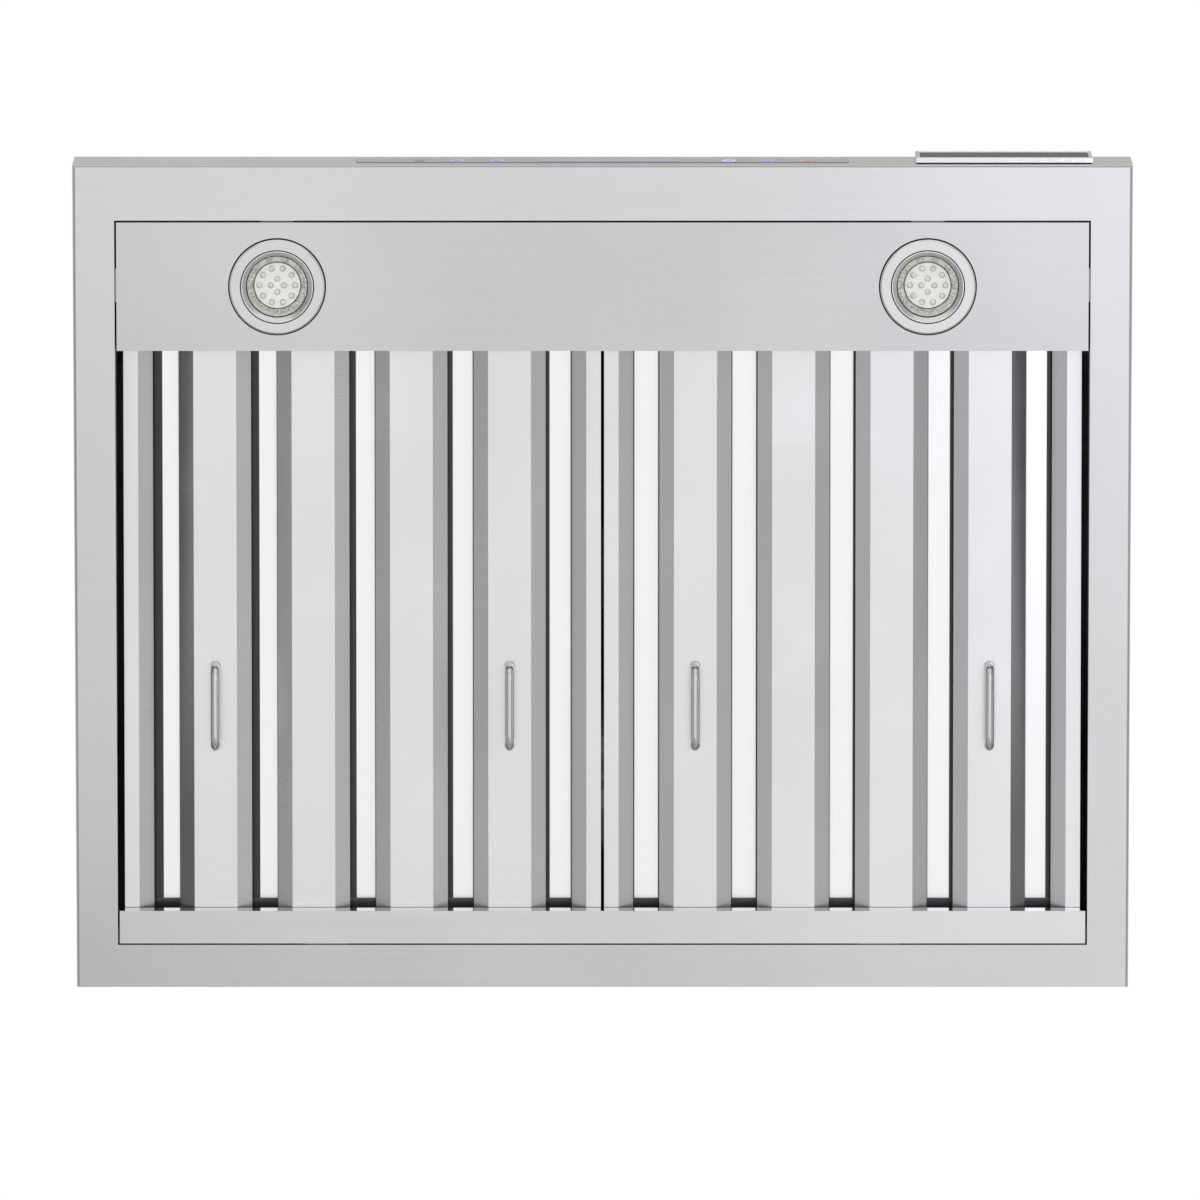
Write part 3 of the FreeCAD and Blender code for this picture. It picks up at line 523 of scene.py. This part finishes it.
def side_shade(nodes, links, place):
    """Painted shade on the outermost slants that look to a side of the hood, growing towards the rear."""
    normal = axes_of(nodes, links, face_normal(nodes))
    axes = axes_of(nodes, links, place)
    outward = combine(nodes, links, "MULTIPLY", normal["X"], axes["X"])
    outermost = spread(nodes, links, outward, 0.0, 1.0, OUTWARD_START, OUTWARD_FULL)
    rear = spread(nodes, links, axes["Y"], 0.0, 1.0, REAR_SHADE_START_Y, REAR_SHADE_FULL_Y)
    shaded_share = combine(nodes, links, "MULTIPLY", outermost, rear)
    return spread(nodes, links, shaded_share, 1.0, SIDE_SHADE, 0.0, 1.0)


# The strips carry painted shade on their outermost slants, growing towards the rear.
steels["baffle"] = brushed_steel("baffle_brushed_steel", 0.77, 0.26, "xz", swing=0.006, smudge=0.025,
                                 bump=0.006, shade=side_shade)
# The frames carry painted shade that grows with depth.
steels["frame"] = brushed_steel("frame_brushed_steel", 0.77, 0.26, "xz", swing=0.006, bump=0.006,
                                shade=depth_shade)
print("filter steels", steels["baffle"].name, steels["frame"].name)

# %% [markdown]
# Bright strips close the gaps between the lower ones from behind. Along their edges a painted shadow
# stands for the dark slots that the lower strips leave, which from straight below are thin lines. The
# strips could be made narrower, but a material with painted shade along their edges does as well, and no
# shape has to change. First the gaps are measured on the mesh: the lower strips cover stretches along X,
# and a gap is what is left between two of them.

# %% Gaps between the lower strips
def covered_stretches(name):
    """The stretches along X that the solids of a node cover."""
    mesh = frame["nodes"][name].data
    faces = [[mesh.vertices[index].co.x for index in face.vertices] for face in mesh.polygons]
    stretches = []
    for low, high in sorted((min(face), max(face)) for face in faces):
        if stretches and low <= stretches[-1][1]:
            stretches[-1][1] = max(stretches[-1][1], high)
        else:
            stretches.append([low, high])
    return stretches


strips = covered_stretches("lower_baffles_right")
gap_middles = [(left[1] + right[0]) / 2 for left, right in zip(strips, strips[1:])]
gap_half = (strips[1][0] - strips[0][1]) / 2
gap_pitch = gap_middles[1] - gap_middles[0]
print("gaps between the strips", round(2 * gap_half, 4), "wide and", round(gap_pitch, 4), "apart")

# %% [markdown]
# The two filters mirror each other, so the rule starts from the distance to the middle of the hood. Its
# remainder after dividing by the pitch is the place inside one gap, which does every strip with one
# formula. The painted shadow is a line at the inner edge of a gap. At the outer edge it is wider, the more
# so the farther the gap lies from one place right of the middle, as the shade of the slots looks from
# below that place.

# %% Bright strips behind the gaps
SLOT_SHADE = 0.06
SLOT_EDGE = 0.0009
SLOT_BLUR = 0.0003
SLOT_WIDENING = 0.0125
SLOT_EVEN_X = 0.122


def slot_shade(nodes, links, place):
    """Painted shadow along the edges of the bright strips, where they run in behind the lower ones."""
    across = axes_of(nodes, links, place)["X"]
    from_middle = combine(nodes, links, "ABSOLUTE", across, 0.0)
    side = combine(nodes, links, "SIGN", across, 0.0)
    even_x = combine(nodes, links, "MULTIPLY", side, SLOT_EVEN_X)
    reach = combine(nodes, links, "MAXIMUM", combine(nodes, links, "SUBTRACT", from_middle, even_x), 0.0)
    widening = combine(nodes, links, "MULTIPLY", reach, SLOT_WIDENING)
    start = combine(nodes, links, "SUBTRACT", from_middle, gap_middles[0] - gap_pitch / 2)
    along = combine(nodes, links, "FLOORED_MODULO", start, gap_pitch)
    from_inner = combine(nodes, links, "SUBTRACT", along, gap_pitch / 2 - gap_half)
    from_outer = combine(nodes, links, "SUBTRACT", gap_pitch / 2 + gap_half, along)
    from_slot = combine(nodes, links, "SUBTRACT", from_outer, widening)
    clear = combine(nodes, links, "MINIMUM", from_inner, from_slot)
    return spread(nodes, links, clear, SLOT_SHADE, 1.0, SLOT_EDGE - SLOT_BLUR, SLOT_EDGE + SLOT_BLUR)


# The bright strips carry painted shadow along their edges.
steels["bright"] = brushed_steel("bright_annealed_steel", 0.915, 0.2, "y", swing=0.01, cloud=0.02,
                                 shade=slot_shade)
print("bright strips", steels["bright"].name)

# %% [markdown]
# The tray's front wall is bright and mirrors the baffles, while its face is brushed like the rim. The
# tray could be cut into two pieces with two materials. It is one folded sheet, though, so the direction
# in which a face looks decides the roughness, and one material does for the whole tray.

# %% Tray steel
FRONT_POLISH = 0.27


def main_shader(material):
    """The Principled node of a finish."""
    return next(node for node in material.node_tree.nodes if node.type == "BSDF_PRINCIPLED")


def tray_steel():
    """Brushed steel that is smoother where it looks to the front or the rear."""
    material = brushed_steel("tray_steel", 0.78, 0.32, "x")
    nodes = material.node_tree.nodes
    links = material.node_tree.links
    shader = main_shader(material)
    rough = shader.inputs["Roughness"].links[0].from_socket
    facing_front = combine(nodes, links, "ABSOLUTE", axes_of(nodes, links, face_normal(nodes))["Y"], 0.0)
    polish = combine(nodes, links, "MULTIPLY", facing_front, FRONT_POLISH)
    links.new(combine(nodes, links, "SUBTRACT", rough, polish), shader.inputs["Roughness"])
    return material


steels["tray"] = tray_steel()
print("tray", steels["tray"].name)

# %% [markdown]
# Mouldings, paint, castings and plated rings have no grain, only a fine unevenness in colour, gloss and
# height. Each of the three could have a noise of its own, but one noise for all is truer: a dull spot is
# then also a slightly darker and deeper one. What makes a finish a metal is the Metallic value alone.

# %% Plain finishes
GLOSS_SWING = 0.04
FINE_GRAIN = 900.0


def plain_finish(name, colour, roughness, metallic=0.0, grain=400.0, swing=0.08, bump=0.05):
    """A finish without a direction, as a moulding, a casting or a coat of paint has."""
    material, nodes, links, output = new_material(name)
    noise = add_noise(nodes, links, object_place(nodes), grain)
    shader = nodes.new("ShaderNodeBsdfPrincipled")
    shader.inputs["Metallic"].default_value = metallic
    tone = spread(nodes, links, noise, 1 - swing, 1 + swing)
    links.new(tinted(nodes, links, tone, colour), shader.inputs["Base Color"])
    rough = spread(nodes, links, noise, roughness - GLOSS_SWING, roughness + GLOSS_SWING)
    links.new(rough, shader.inputs["Roughness"])
    add_bump(nodes, links, shader, noise, bump)
    links.new(shader.outputs[0], output.inputs["Surface"])
    return material


finishes = {
    "bezel": plain_finish("bezel_satin", (0.71, 0.705, 0.69), 0.3, 1.0, FINE_GRAIN, swing=0.03, bump=0.03),
    "reflector": plain_finish("reflector_chrome", (0.72, 0.72, 0.67), 0.07, 1.0, swing=0.04),
    "can": plain_finish("cast_aluminium", (0.5, 0.5, 0.51), 0.45, 1.0, swing=0.12, bump=0.2),
    "black": plain_finish("black_moulding", (0.03, 0.03, 0.032), 0.5, bump=0.2),
    "paint": plain_finish("motor_paint", (0.08, 0.08, 0.085), 0.38, bump=0.1),
    "damper": plain_finish("damper_plastic", (0.06, 0.06, 0.06), 0.45, bump=0.1),
    "field": plain_finish("plate_field", (0.022, 0.024, 0.04), 0.4, swing=0.15),
    "chrome": plain_finish("badge_chrome", (0.82, 0.82, 0.83), 0.09, 1.0, swing=0.02, bump=0.02),
}
print("plain finishes", sorted(finishes))

# %% [markdown]
# The blower housing is galvanised sheet, and zinc freezes into flat crystals that can be seen with the
# bare eye. A noise would give soft clouds without edges. A Voronoi texture gives just such cells, each
# with a random colour, and two channels of that colour become the grey and the gloss of a crystal.

# %% Galvanised zinc
CRYSTALS_PER_METRE = 90.0
ZINC_GREYS = (0.5, 0.66)
ZINC_ROUGHNESS = (0.32, 0.5)
ZINC_TINT = (0.98, 1.0, 1.02)


def galvanised_zinc():
    """Zinc spangle: flat crystals, each with its own grey and gloss."""
    material, nodes, links, output = new_material("galvanised_zinc")
    crystals = nodes.new("ShaderNodeTexVoronoi")
    crystals.inputs["Scale"].default_value = CRYSTALS_PER_METRE
    links.new(object_place(nodes), crystals.inputs["Vector"])
    chance = nodes.new("ShaderNodeSeparateColor")
    links.new(crystals.outputs["Color"], chance.inputs[0])
    shader = nodes.new("ShaderNodeBsdfPrincipled")
    shader.inputs["Metallic"].default_value = 1.0
    tone = spread(nodes, links, chance.outputs["Red"], *ZINC_GREYS, 0.0, 1.0)
    links.new(tinted(nodes, links, tone, ZINC_TINT), shader.inputs["Base Color"])
    rough = spread(nodes, links, chance.outputs["Green"], *ZINC_ROUGHNESS, 0.0, 1.0)
    links.new(rough, shader.inputs["Roughness"])
    links.new(shader.outputs[0], output.inputs["Surface"])
    return material


finishes["zinc"] = galvanised_zinc()
print("zinc", finishes["zinc"].name)

# %% [markdown]
# A lamp is a clear cover, a white plate with a little painted light, and small domes of clear epoxy.
# Domes of pure glass would be right in a close view, but at this size their refraction turns into noise.
# So a Layer Weight node stands for it: pale where the dome faces the eye, and dark at the rim, with a
# clear coat for the highlight.

# %% Cover, plate and domes of the lamps
LENS_INDEX = 1.46
DOME_PALE = 1.0
DOME_RIM = 0.3
DOME_PALE_TURN = 0.15
DOME_RIM_TURN = 0.75
DOME_TINT = (1, 1, 0.98)


def lens_glass():
    """Smooth clear glass."""
    material = plain_finish("lens_glass", (0.98, 0.995, 0.985), 0.05, swing=0.01, bump=0.0)
    shader = main_shader(material)
    shader.inputs["Transmission Weight"].default_value = 1.0
    shader.inputs["IOR"].default_value = LENS_INDEX
    return material


def painted_glow_plate(colour, strength):
    """A pale plate with a little painted light: a glow that brightens it, though the plate is no lamp."""
    material = plain_finish("led_board_painted_glow", colour, 0.5, swing=0.02)
    shader = main_shader(material)
    shader.inputs["Emission Color"].default_value = (*colour, 1)
    shader.inputs["Emission Strength"].default_value = strength
    return material


def dome_epoxy():
    """Clear epoxy over a white plate: pale in the middle, and dark where it bends the plate out of sight."""
    material, nodes, links, output = new_material("led_dome_clear")
    turned = nodes.new("ShaderNodeLayerWeight")
    turned.inputs["Blend"].default_value = 0.5
    noise = add_noise(nodes, links, object_place(nodes), FINE_GRAIN)
    rim = spread(nodes, links, turned.outputs["Facing"], DOME_PALE, DOME_RIM, DOME_PALE_TURN, DOME_RIM_TURN)
    tone = combine(nodes, links, "MULTIPLY", rim, spread(nodes, links, noise, 0.97, 1.0))
    shader = nodes.new("ShaderNodeBsdfPrincipled")
    links.new(tinted(nodes, links, tone, DOME_TINT), shader.inputs["Base Color"])
    shader.inputs["Roughness"].default_value = 0.05
    shader.inputs["Transmission Weight"].default_value = 0.2
    shader.inputs["Coat Weight"].default_value = 1.0
    shader.inputs["Coat Roughness"].default_value = 0.03
    links.new(shader.outputs[0], output.inputs["Surface"])
    return material


finishes["lens"] = lens_glass()
# The plate's glow is painted light.
finishes["board"] = painted_glow_plate((0.9, 0.89, 0.85), 0.1)
finishes["dome"] = dome_epoxy()
print("lamp finishes", [finishes[name].name for name in ("lens", "board", "dome")])

# %% [markdown]
# Rubber and foam are dark because they hardly mirror at all, and so are the dark rings of painted shadow
# in the lamps. A black colour alone would still shine at a slant, so their specular level is turned down.
# The touch strip is the opposite: nearly black glass whose clear coat mirrors the room, so it looks as
# pale as the steel from below and dark from the front.

# %% Rubber and touch glass
def dull_rubber(name, colour):
    """Dark and rough, with almost no gloss."""
    material = plain_finish(name, colour, 0.85, swing=0.2, bump=0.2)
    main_shader(material).inputs["Specular IOR Level"].default_value = 0.1
    return material


def touch_glass():
    """Nearly black glass under a clear, smooth coat."""
    material = plain_finish("touch_glass", (0.012, 0.013, 0.018), 0.09, swing=0.2, bump=0.0)
    shader = main_shader(material)
    shader.inputs["Coat Weight"].default_value = 1.0
    shader.inputs["Coat Roughness"].default_value = 0.04
    return material


# Black rubber for the tape and gaskets, also used for dark rings of painted shadow.
finishes["rubber"] = dull_rubber("black_rubber_and_shadow", (0.008, 0.008, 0.009))
# Painted shadow: the dark line round the plate of each lamp.
finishes["varnish"] = dull_rubber("lamp_seam_varnish", (0.09, 0.09, 0.06))
finishes["touch"] = touch_glass()
print("finishes", sorted(material.name for material in finishes.values()))

# %% [markdown]
# Each CAD node keeps its place and shape and takes a better material. Forty-eight nodes could be dressed
# one by one, but the record already says which slot each node has. So a table from slot to finish dresses
# them all, and a second table names the few whose grain or shade differs from the rest of their slot.

# %% Dress the CAD nodes
slot_finish = {
    "canopy_steel": steels["canopy"],
    "filter_steel": steels["baffle"],
    "bright_steel": steels["bright"],
    "handle_chrome": steels["wire"],
    "spring_steel": steels["spring"],
    "bezel_satin": finishes["bezel"],
    "lens_clear": finishes["lens"],
    "reflector_chrome": finishes["reflector"],
    "led_white": finishes["board"],
    "led_clear": finishes["dome"],
    "can_aluminium": finishes["can"],
    "control_dark": finishes["touch"],
    "black_plastic": finishes["black"],
    "galvanised": finishes["zinc"],
    "motor_paint": finishes["paint"],
    "damper_plastic": finishes["damper"],
}
own_finish = {
    "canopy_skirt": steels["skirt"],
    "canopy_side_left": steels["side"],
    "canopy_side_right": steels["side"],
    "light_panel": steels["panel"],
    "grease_tray": steels["tray"],
    "filter_frame_left": steels["frame"],
    "filter_frame_right": steels["frame"],
    "chimney_lower": steels["chimney"],
    "chimney_upper": steels["chimney"],
}
for part in frame["record"]["subparts"]:
    node = frame["nodes"][part["node"]]
    finish = own_finish.get(part["node"], slot_finish[part["material_slot"]])
    for index in range(max(1, len(node.data.materials))):
        if node.data.materials:
            node.data.materials[index] = finish
        else:
            node.data.materials.append(finish)
print("dressed", len(frame["nodes"]), "nodes")

# %% [markdown]
# Gaskets, beads, weld spots, the bare plate and the lit marks are trim. They could be solids of the
# model, but they are too thin to carry anything, so they are made here. Each is built with bmesh in the
# place where it belongs, and then rides on a body of the frame, so that it moves with it. One function
# turns a finished bmesh into such a piece, and a second spins a ring from its section.

# %% Make a piece
SMOOTH_ANGLE = math.radians(35)
RING_STEPS = 96
MERGE_DISTANCE = 1e-6


def make_piece(name, bm, material, body):
    """A finished piece of trim that rides on a body and has the given material."""
    bmesh.ops.recalc_face_normals(bm, faces=bm.faces)
    piece = add_mesh_object(name, bm)
    for polygon in piece.data.polygons:
        polygon.use_smooth = True
    piece.data.set_sharp_from_angle(angle=SMOOTH_ANGLE)
    piece.data.materials.append(material)
    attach(piece, body)
    print(name, len(piece.data.polygons), "faces on", body)
    return piece


def spun_ring(bm, centre, outline):
    """Spin an outline of (radius, height) points about a vertical axis through the centre."""
    verts = [bm.verts.new(centre + Vector((radius, 0, height))) for radius, height in outline]
    edges = [bm.edges.new((first, second)) for first, second in zip(verts, verts[1:] + verts[:1])]
    bmesh.ops.spin(bm, geom=verts + edges, cent=centre, axis=(0, 0, 1), angle=2 * math.pi,
                   steps=RING_STEPS, use_merge=True)
    bmesh.ops.remove_doubles(bm, verts=bm.verts, dist=MERGE_DISTANCE)


print("edges sharper than", round(math.degrees(SMOOTH_ANGLE)), "degrees stay sharp")

# %% [markdown]
# A thin black gasket shows round each lamp ring, where the ring meets the panel, and its black stands for
# the shadow in the gap round the ring as well. It could be a torus, but a real gasket is a flat lip with
# one sloped edge, so five points are spun. Its inner edge is the lamp ring's outer edge, which is read from
# the frame.

# %% Shape of a lamp gasket
GASKET_WIDTH = 0.001
GASKET_DROP = 0.0007


def gasket_ring(centre, inner):
    """A flat lip with one sloped edge that hangs under the panel."""
    outer = inner + GASKET_WIDTH
    lip = [(inner, 0), (outer, 0), (outer, -GASKET_DROP / 2)]
    lip += [(inner + GASKET_WIDTH / 2, -GASKET_DROP), (inner, -GASKET_DROP)]
    bm = bmesh.new()
    spun_ring(bm, centre, lip)
    return bm


print("gaskets", GASKET_WIDTH * 1000, "mm wide and", GASKET_DROP * 1000, "mm deep")

# %% [markdown]
# Where the flat of the lamp ring turns in to the glass there is a fine groove with a polished bead inside
# it, and a dark line runs round the plate of the lights. The groove's shade and that line are painted
# shadow: each is a dark ring. They could be lines in a material, but a bead has to catch the light on its
# round back. All three hang under a flat face, so each is a ring with a half round section, and only its
# circle, its radius and its finish differ. The loop makes them for each lamp, after its gasket.

# %% Rings of the lamps
GROOVE_CIRCLE = 0.0264
GROOVE_RADIUS = 0.00035
BEAD_CIRCLE = 0.0256
BEAD_RADIUS = 0.0005
SEAM_CIRCLE = 0.0168
SEAM_RADIUS = 0.00035
HALF_ROUND_STEPS = 6


def half_round_ring(centre, circle, radius):
    """A ring with a half round section that hangs under a flat face."""
    turns = [math.pi * step / HALF_ROUND_STEPS for step in range(HALF_ROUND_STEPS + 1)]
    section = [(circle + radius * math.cos(turn), -radius * math.sin(turn)) for turn in turns]
    bm = bmesh.new()
    spun_ring(bm, centre, section)
    return bm


for side in ("left", "right"):
    low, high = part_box("lamp_bezel_" + side)
    centre = Vector(((low.x + high.x) / 2, (low.y + high.y) / 2, panel_low.z))
    gasket_bm = gasket_ring(centre, (high.x - low.x) / 2)
    # The black of the gasket is partly painted shadow for the gap round the lamp ring.
    make_piece("lamp_gasket_and_shadow_" + side, gasket_bm, finishes["rubber"], "hood")
    flat = Vector((centre.x, centre.y, low.z))
    # The groove is a dark ring of painted shadow.
    groove_bm = half_round_ring(flat, GROOVE_CIRCLE, GROOVE_RADIUS)
    make_piece("lamp_groove_shadow_" + side, groove_bm, finishes["rubber"], "hood")
    bead_bm = half_round_ring(flat, BEAD_CIRCLE, BEAD_RADIUS)
    make_piece("lamp_bead_" + side, bead_bm, finishes["chrome"], "hood")
    board = Vector((centre.x, centre.y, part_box("led_board_" + side)[0].z))
    # The seam is a dark ring of painted shadow round the plate.
    seam_bm = half_round_ring(board, SEAM_CIRCLE, SEAM_RADIUS)
    make_piece("lamp_seam_" + side, seam_bm, finishes["varnish"], "hood")

# %% [markdown]
# The wire handles are welded to the filters, and a weld has no sharp corner. A fillet could be made where
# wire and strip meet, but a small cone at each foot does for it: the wire stands in its narrow end, and
# its wide end lies on the strip. The foot places come from the handles' own box, and the cones lean with
# the slope of the filters and ride with them.

# %% Handle feet
WIRE = 0.0062
FOOT_NARROW_RADIUS = 0.52 * WIRE
FOOT_WIDE_RADIUS = 0.0037
FOOT_HEIGHT = 0.001
FOOT_SEGMENTS = 32
foot_lean = Matrix.Rotation(-filter_slope, 4, "X") @ Matrix.Translation((0, 0, -FOOT_HEIGHT / 2))
for side in ("left", "right"):
    low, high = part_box("filter_handles_" + side)
    feet_bm = bmesh.new()
    for x in (low.x + WIRE / 2, high.x - WIRE / 2):
        for y in (low.y + WIRE / 2, high.y - WIRE / 2):
            foot = Matrix.Translation((x, y, filter_face_z - y * math.tan(filter_slope))) @ foot_lean
            bmesh.ops.create_cone(feet_bm, cap_ends=True, segments=FOOT_SEGMENTS, radius1=FOOT_NARROW_RADIUS,
                                  radius2=FOOT_WIDE_RADIUS, depth=FOOT_HEIGHT, matrix=foot)
    make_piece("handle_feet_" + side, feet_bm, steels["wire"], "filter_" + side)

# %% [markdown]
# The plate at the right of the front face is bare. On a real hood such a plate is cast, plated and stuck
# on with a strip of black foam tape. The plate could lie straight on the steel, but the black tape behind
# it also stands for the dark line of shade under the plate, and shows that it is a piece of its own. So the
# tape is made first: a flat box with four rounded corners, a little smaller than the plate.

# %% Foam tape
PLATE_SIZE = Vector((0.127, 0.0036, 0.04))
PLATE_CENTRE_X = 0.289
PLATE_CENTRE_HEIGHT = 0.0285
TAPE_THICKNESS = 0.0009
TAPE_INSET = 0.001
TAPE_CORNER = 0.002
CORNER_SEGMENTS = 4
LEVEL_TOLERANCE = 1e-5


def placed_box(centre, size):
    """A box of the given size around a centre."""
    bm = bmesh.new()
    bmesh.ops.create_cube(bm, size=1.0, matrix=Matrix.Translation(centre) @ Matrix.Diagonal(size).to_4x4())
    return bm


def round_corners(bm, radius):
    """Round the four edges of a flat box that run from its front to its back."""
    corners = [edge for edge in bm.edges if abs(edge.verts[0].co.y - edge.verts[1].co.y) > LEVEL_TOLERANCE]
    bmesh.ops.bevel(bm, geom=corners, offset=radius, segments=CORNER_SEGMENTS, profile=0.5, affect="EDGES",
                    material=-1)


plate_centre = Vector((PLATE_CENTRE_X, front_y, rim_z + PLATE_CENTRE_HEIGHT))
tape_size = Vector((PLATE_SIZE.x - 2 * TAPE_INSET, TAPE_THICKNESS, PLATE_SIZE.z - 2 * TAPE_INSET))
tape_bm = placed_box(plate_centre - Vector((0, TAPE_THICKNESS / 2, 0)), tape_size)
round_corners(tape_bm, TAPE_CORNER)
# The black tape is partly painted shadow, the dark line under the plate.
make_piece("plate_tape_and_shadow", tape_bm, finishes["rubber"], "hood")

# %% [markdown]
# The plate itself is a chrome frame round a dark field. It could be four bars, but a casting has no
# joints. So the front edges of one box are bevelled, an inset makes the border of the frame, and a second
# inset that is pushed inwards makes its step.

# %% Bare plate
PLATE_BEVEL = 0.0012
BEVEL_SEGMENTS = 3
PLATE_BORDER = 0.0024
PLATE_STEP = 0.0009


def front_face(bm):
    """The largest of the faces that lie farthest to the front."""
    return min(bm.faces, key=lambda face: (round(face.calc_center_median().y, 6), -face.calc_area()))


plate_bm = placed_box(plate_centre - Vector((0, TAPE_THICKNESS + PLATE_SIZE.y / 2, 0)), PLATE_SIZE)
bmesh.ops.bevel(plate_bm, geom=list(front_face(plate_bm).edges), offset=PLATE_BEVEL, segments=BEVEL_SEGMENTS,
                profile=0.5, affect="EDGES", material=-1)
plate_face = front_face(plate_bm)
bmesh.ops.inset_region(plate_bm, faces=[plate_face], thickness=PLATE_BORDER, depth=0)
bmesh.ops.inset_region(plate_bm, faces=[plate_face], thickness=PLATE_STEP / 2, depth=-PLATE_STEP)
field_corners = [vert.co.copy() for vert in plate_face.verts]
make_piece("bare_plate", plate_bm, finishes["chrome"], "hood")

# %% [markdown]
# The field could be a second material on the floor of the frame, but chrome and enamel are two layers
# with an edge between them. So the field is a thin sheet of its own in the step of the plate, with a
# shallow step too.

# %% Field of the plate
FIELD_THICKNESS = 0.0002
FIELD_EDGE = 0.0012
field_low = Vector(min(corner[axis] for corner in field_corners) for axis in range(3))
field_high = Vector(max(corner[axis] for corner in field_corners) for axis in range(3))
field_size = Vector((field_high.x - field_low.x, FIELD_THICKNESS, field_high.z - field_low.z))
field_bm = placed_box((field_low + field_high) / 2 - Vector((0, FIELD_THICKNESS / 2, 0)), field_size)
field_face = front_face(field_bm)
bmesh.ops.inset_region(field_bm, faces=[field_face], thickness=FIELD_EDGE, depth=0)
bmesh.ops.inset_region(field_bm, faces=[field_face], thickness=FIELD_THICKNESS, depth=-FIELD_THICKNESS / 2)
make_piece("bare_plate_field", field_bm, finishes["field"], "hood")

# %% [markdown]
# The touch strip has lit places for the fingers, three at each side of a display. On a real hood small
# lamps shine through the glass from behind. Such lamps could stand here too, but this glass is a dark
# solid, so each mark glows by itself. A strength below one keeps a mark dim, and only the blue one is
# stronger.

# %% Light of the marks
MARK_DARK = (0.02, 0.02, 0.03, 1)
MARK_GRAIN = 300.0


def lit_mark(name, colour, strength):
    """Dark glass with a light of its own."""
    material, nodes, links, output = new_material(name)
    noise = add_noise(nodes, links, object_place(nodes), MARK_GRAIN)
    glow = tinted(nodes, links, spread(nodes, links, noise, 0.85, 1.0), colour)
    shader = nodes.new("ShaderNodeBsdfPrincipled")
    shader.inputs["Base Color"].default_value = MARK_DARK
    shader.inputs["Roughness"].default_value = 0.2
    shader.inputs["Emission Strength"].default_value = strength
    links.new(glow, shader.inputs["Emission Color"])
    links.new(shader.outputs[0], output.inputs["Surface"])
    return material


blue_light = lit_mark("mark_blue", (0.2, 0.17, 1.0), 3.0)
violet_light = lit_mark("mark_violet", (0.42, 0.36, 1.0), 0.9)
dim_light = lit_mark("mark_dim", (0.4, 0.38, 0.75), 0.5)
red_light = lit_mark("mark_red", (1.0, 0.3, 0.28), 0.7)
mark_lights = [violet_light, violet_light, dim_light, blue_light, violet_light, red_light]
print("marks", len(mark_lights))

# %% [markdown]
# The marks are thin wafers laid on the glass, and their places are counted from the middle of the
# display. A torus would stand out like a bead, so two circles are bridged into a flat ring, which then
# gets a thickness.

# %% Touch marks
MARK_RADIUS = 0.0048
MARK_LINE = 0.0014
MARK_DEPTH = 0.0002
MARK_PITCH = 0.028
MARK_SEGMENTS = 40
MARKS_EACH_SIDE = 3
LEFT_MARKS = 0.081
RIGHT_MARKS = 0.086
DISPLAY_X = 0.005
marks_x = [DISPLAY_X - LEFT_MARKS - MARK_PITCH * step for step in range(MARKS_EACH_SIDE)]
marks_x += [DISPLAY_X + RIGHT_MARKS + MARK_PITCH * step for step in range(MARKS_EACH_SIDE)]
glass_middle = Vector((0, glass_low.y - MARK_DEPTH / 2, (glass_low.z + glass_high.z) / 2))
for number, (x, light) in enumerate(zip(marks_x, mark_lights)):
    mark_bm = bmesh.new()
    upright = Matrix.Translation(glass_middle + Vector((x, 0, 0))) @ Matrix.Rotation(math.pi / 2, 4, "X")
    rings = []
    for radius in (MARK_RADIUS, MARK_RADIUS - MARK_LINE):
        made = bmesh.ops.create_circle(mark_bm, cap_ends=False, segments=MARK_SEGMENTS, radius=radius,
                                       matrix=upright)
        rings += list({edge for vert in made["verts"] for edge in vert.link_edges})
    bmesh.ops.bridge_loops(mark_bm, edges=rings)
    bmesh.ops.solidify(mark_bm, geom=mark_bm.faces[:], thickness=MARK_DEPTH / 2)
    make_piece("touch_mark_" + str(number + 1), mark_bm, light, "hood")

# %% [markdown]
# The display between the marks is a pane with a dim even glow. It could be a single face, but a face has
# no edge to catch the light. So it is a thin box whose four corners are rounded, like the tape of the
# plate.

# %% Display
DISPLAY_SIZE = Vector((0.10, MARK_DEPTH, 0.008))
DISPLAY_CORNER = 0.0015
display_light = lit_mark("display_glow", (0.5, 0.56, 0.8), 0.45)
display_bm = placed_box(glass_middle + Vector((DISPLAY_X, 0, 0)), DISPLAY_SIZE)
round_corners(display_bm, DISPLAY_CORNER)
make_piece("touch_display", display_bm, display_light, "hood")
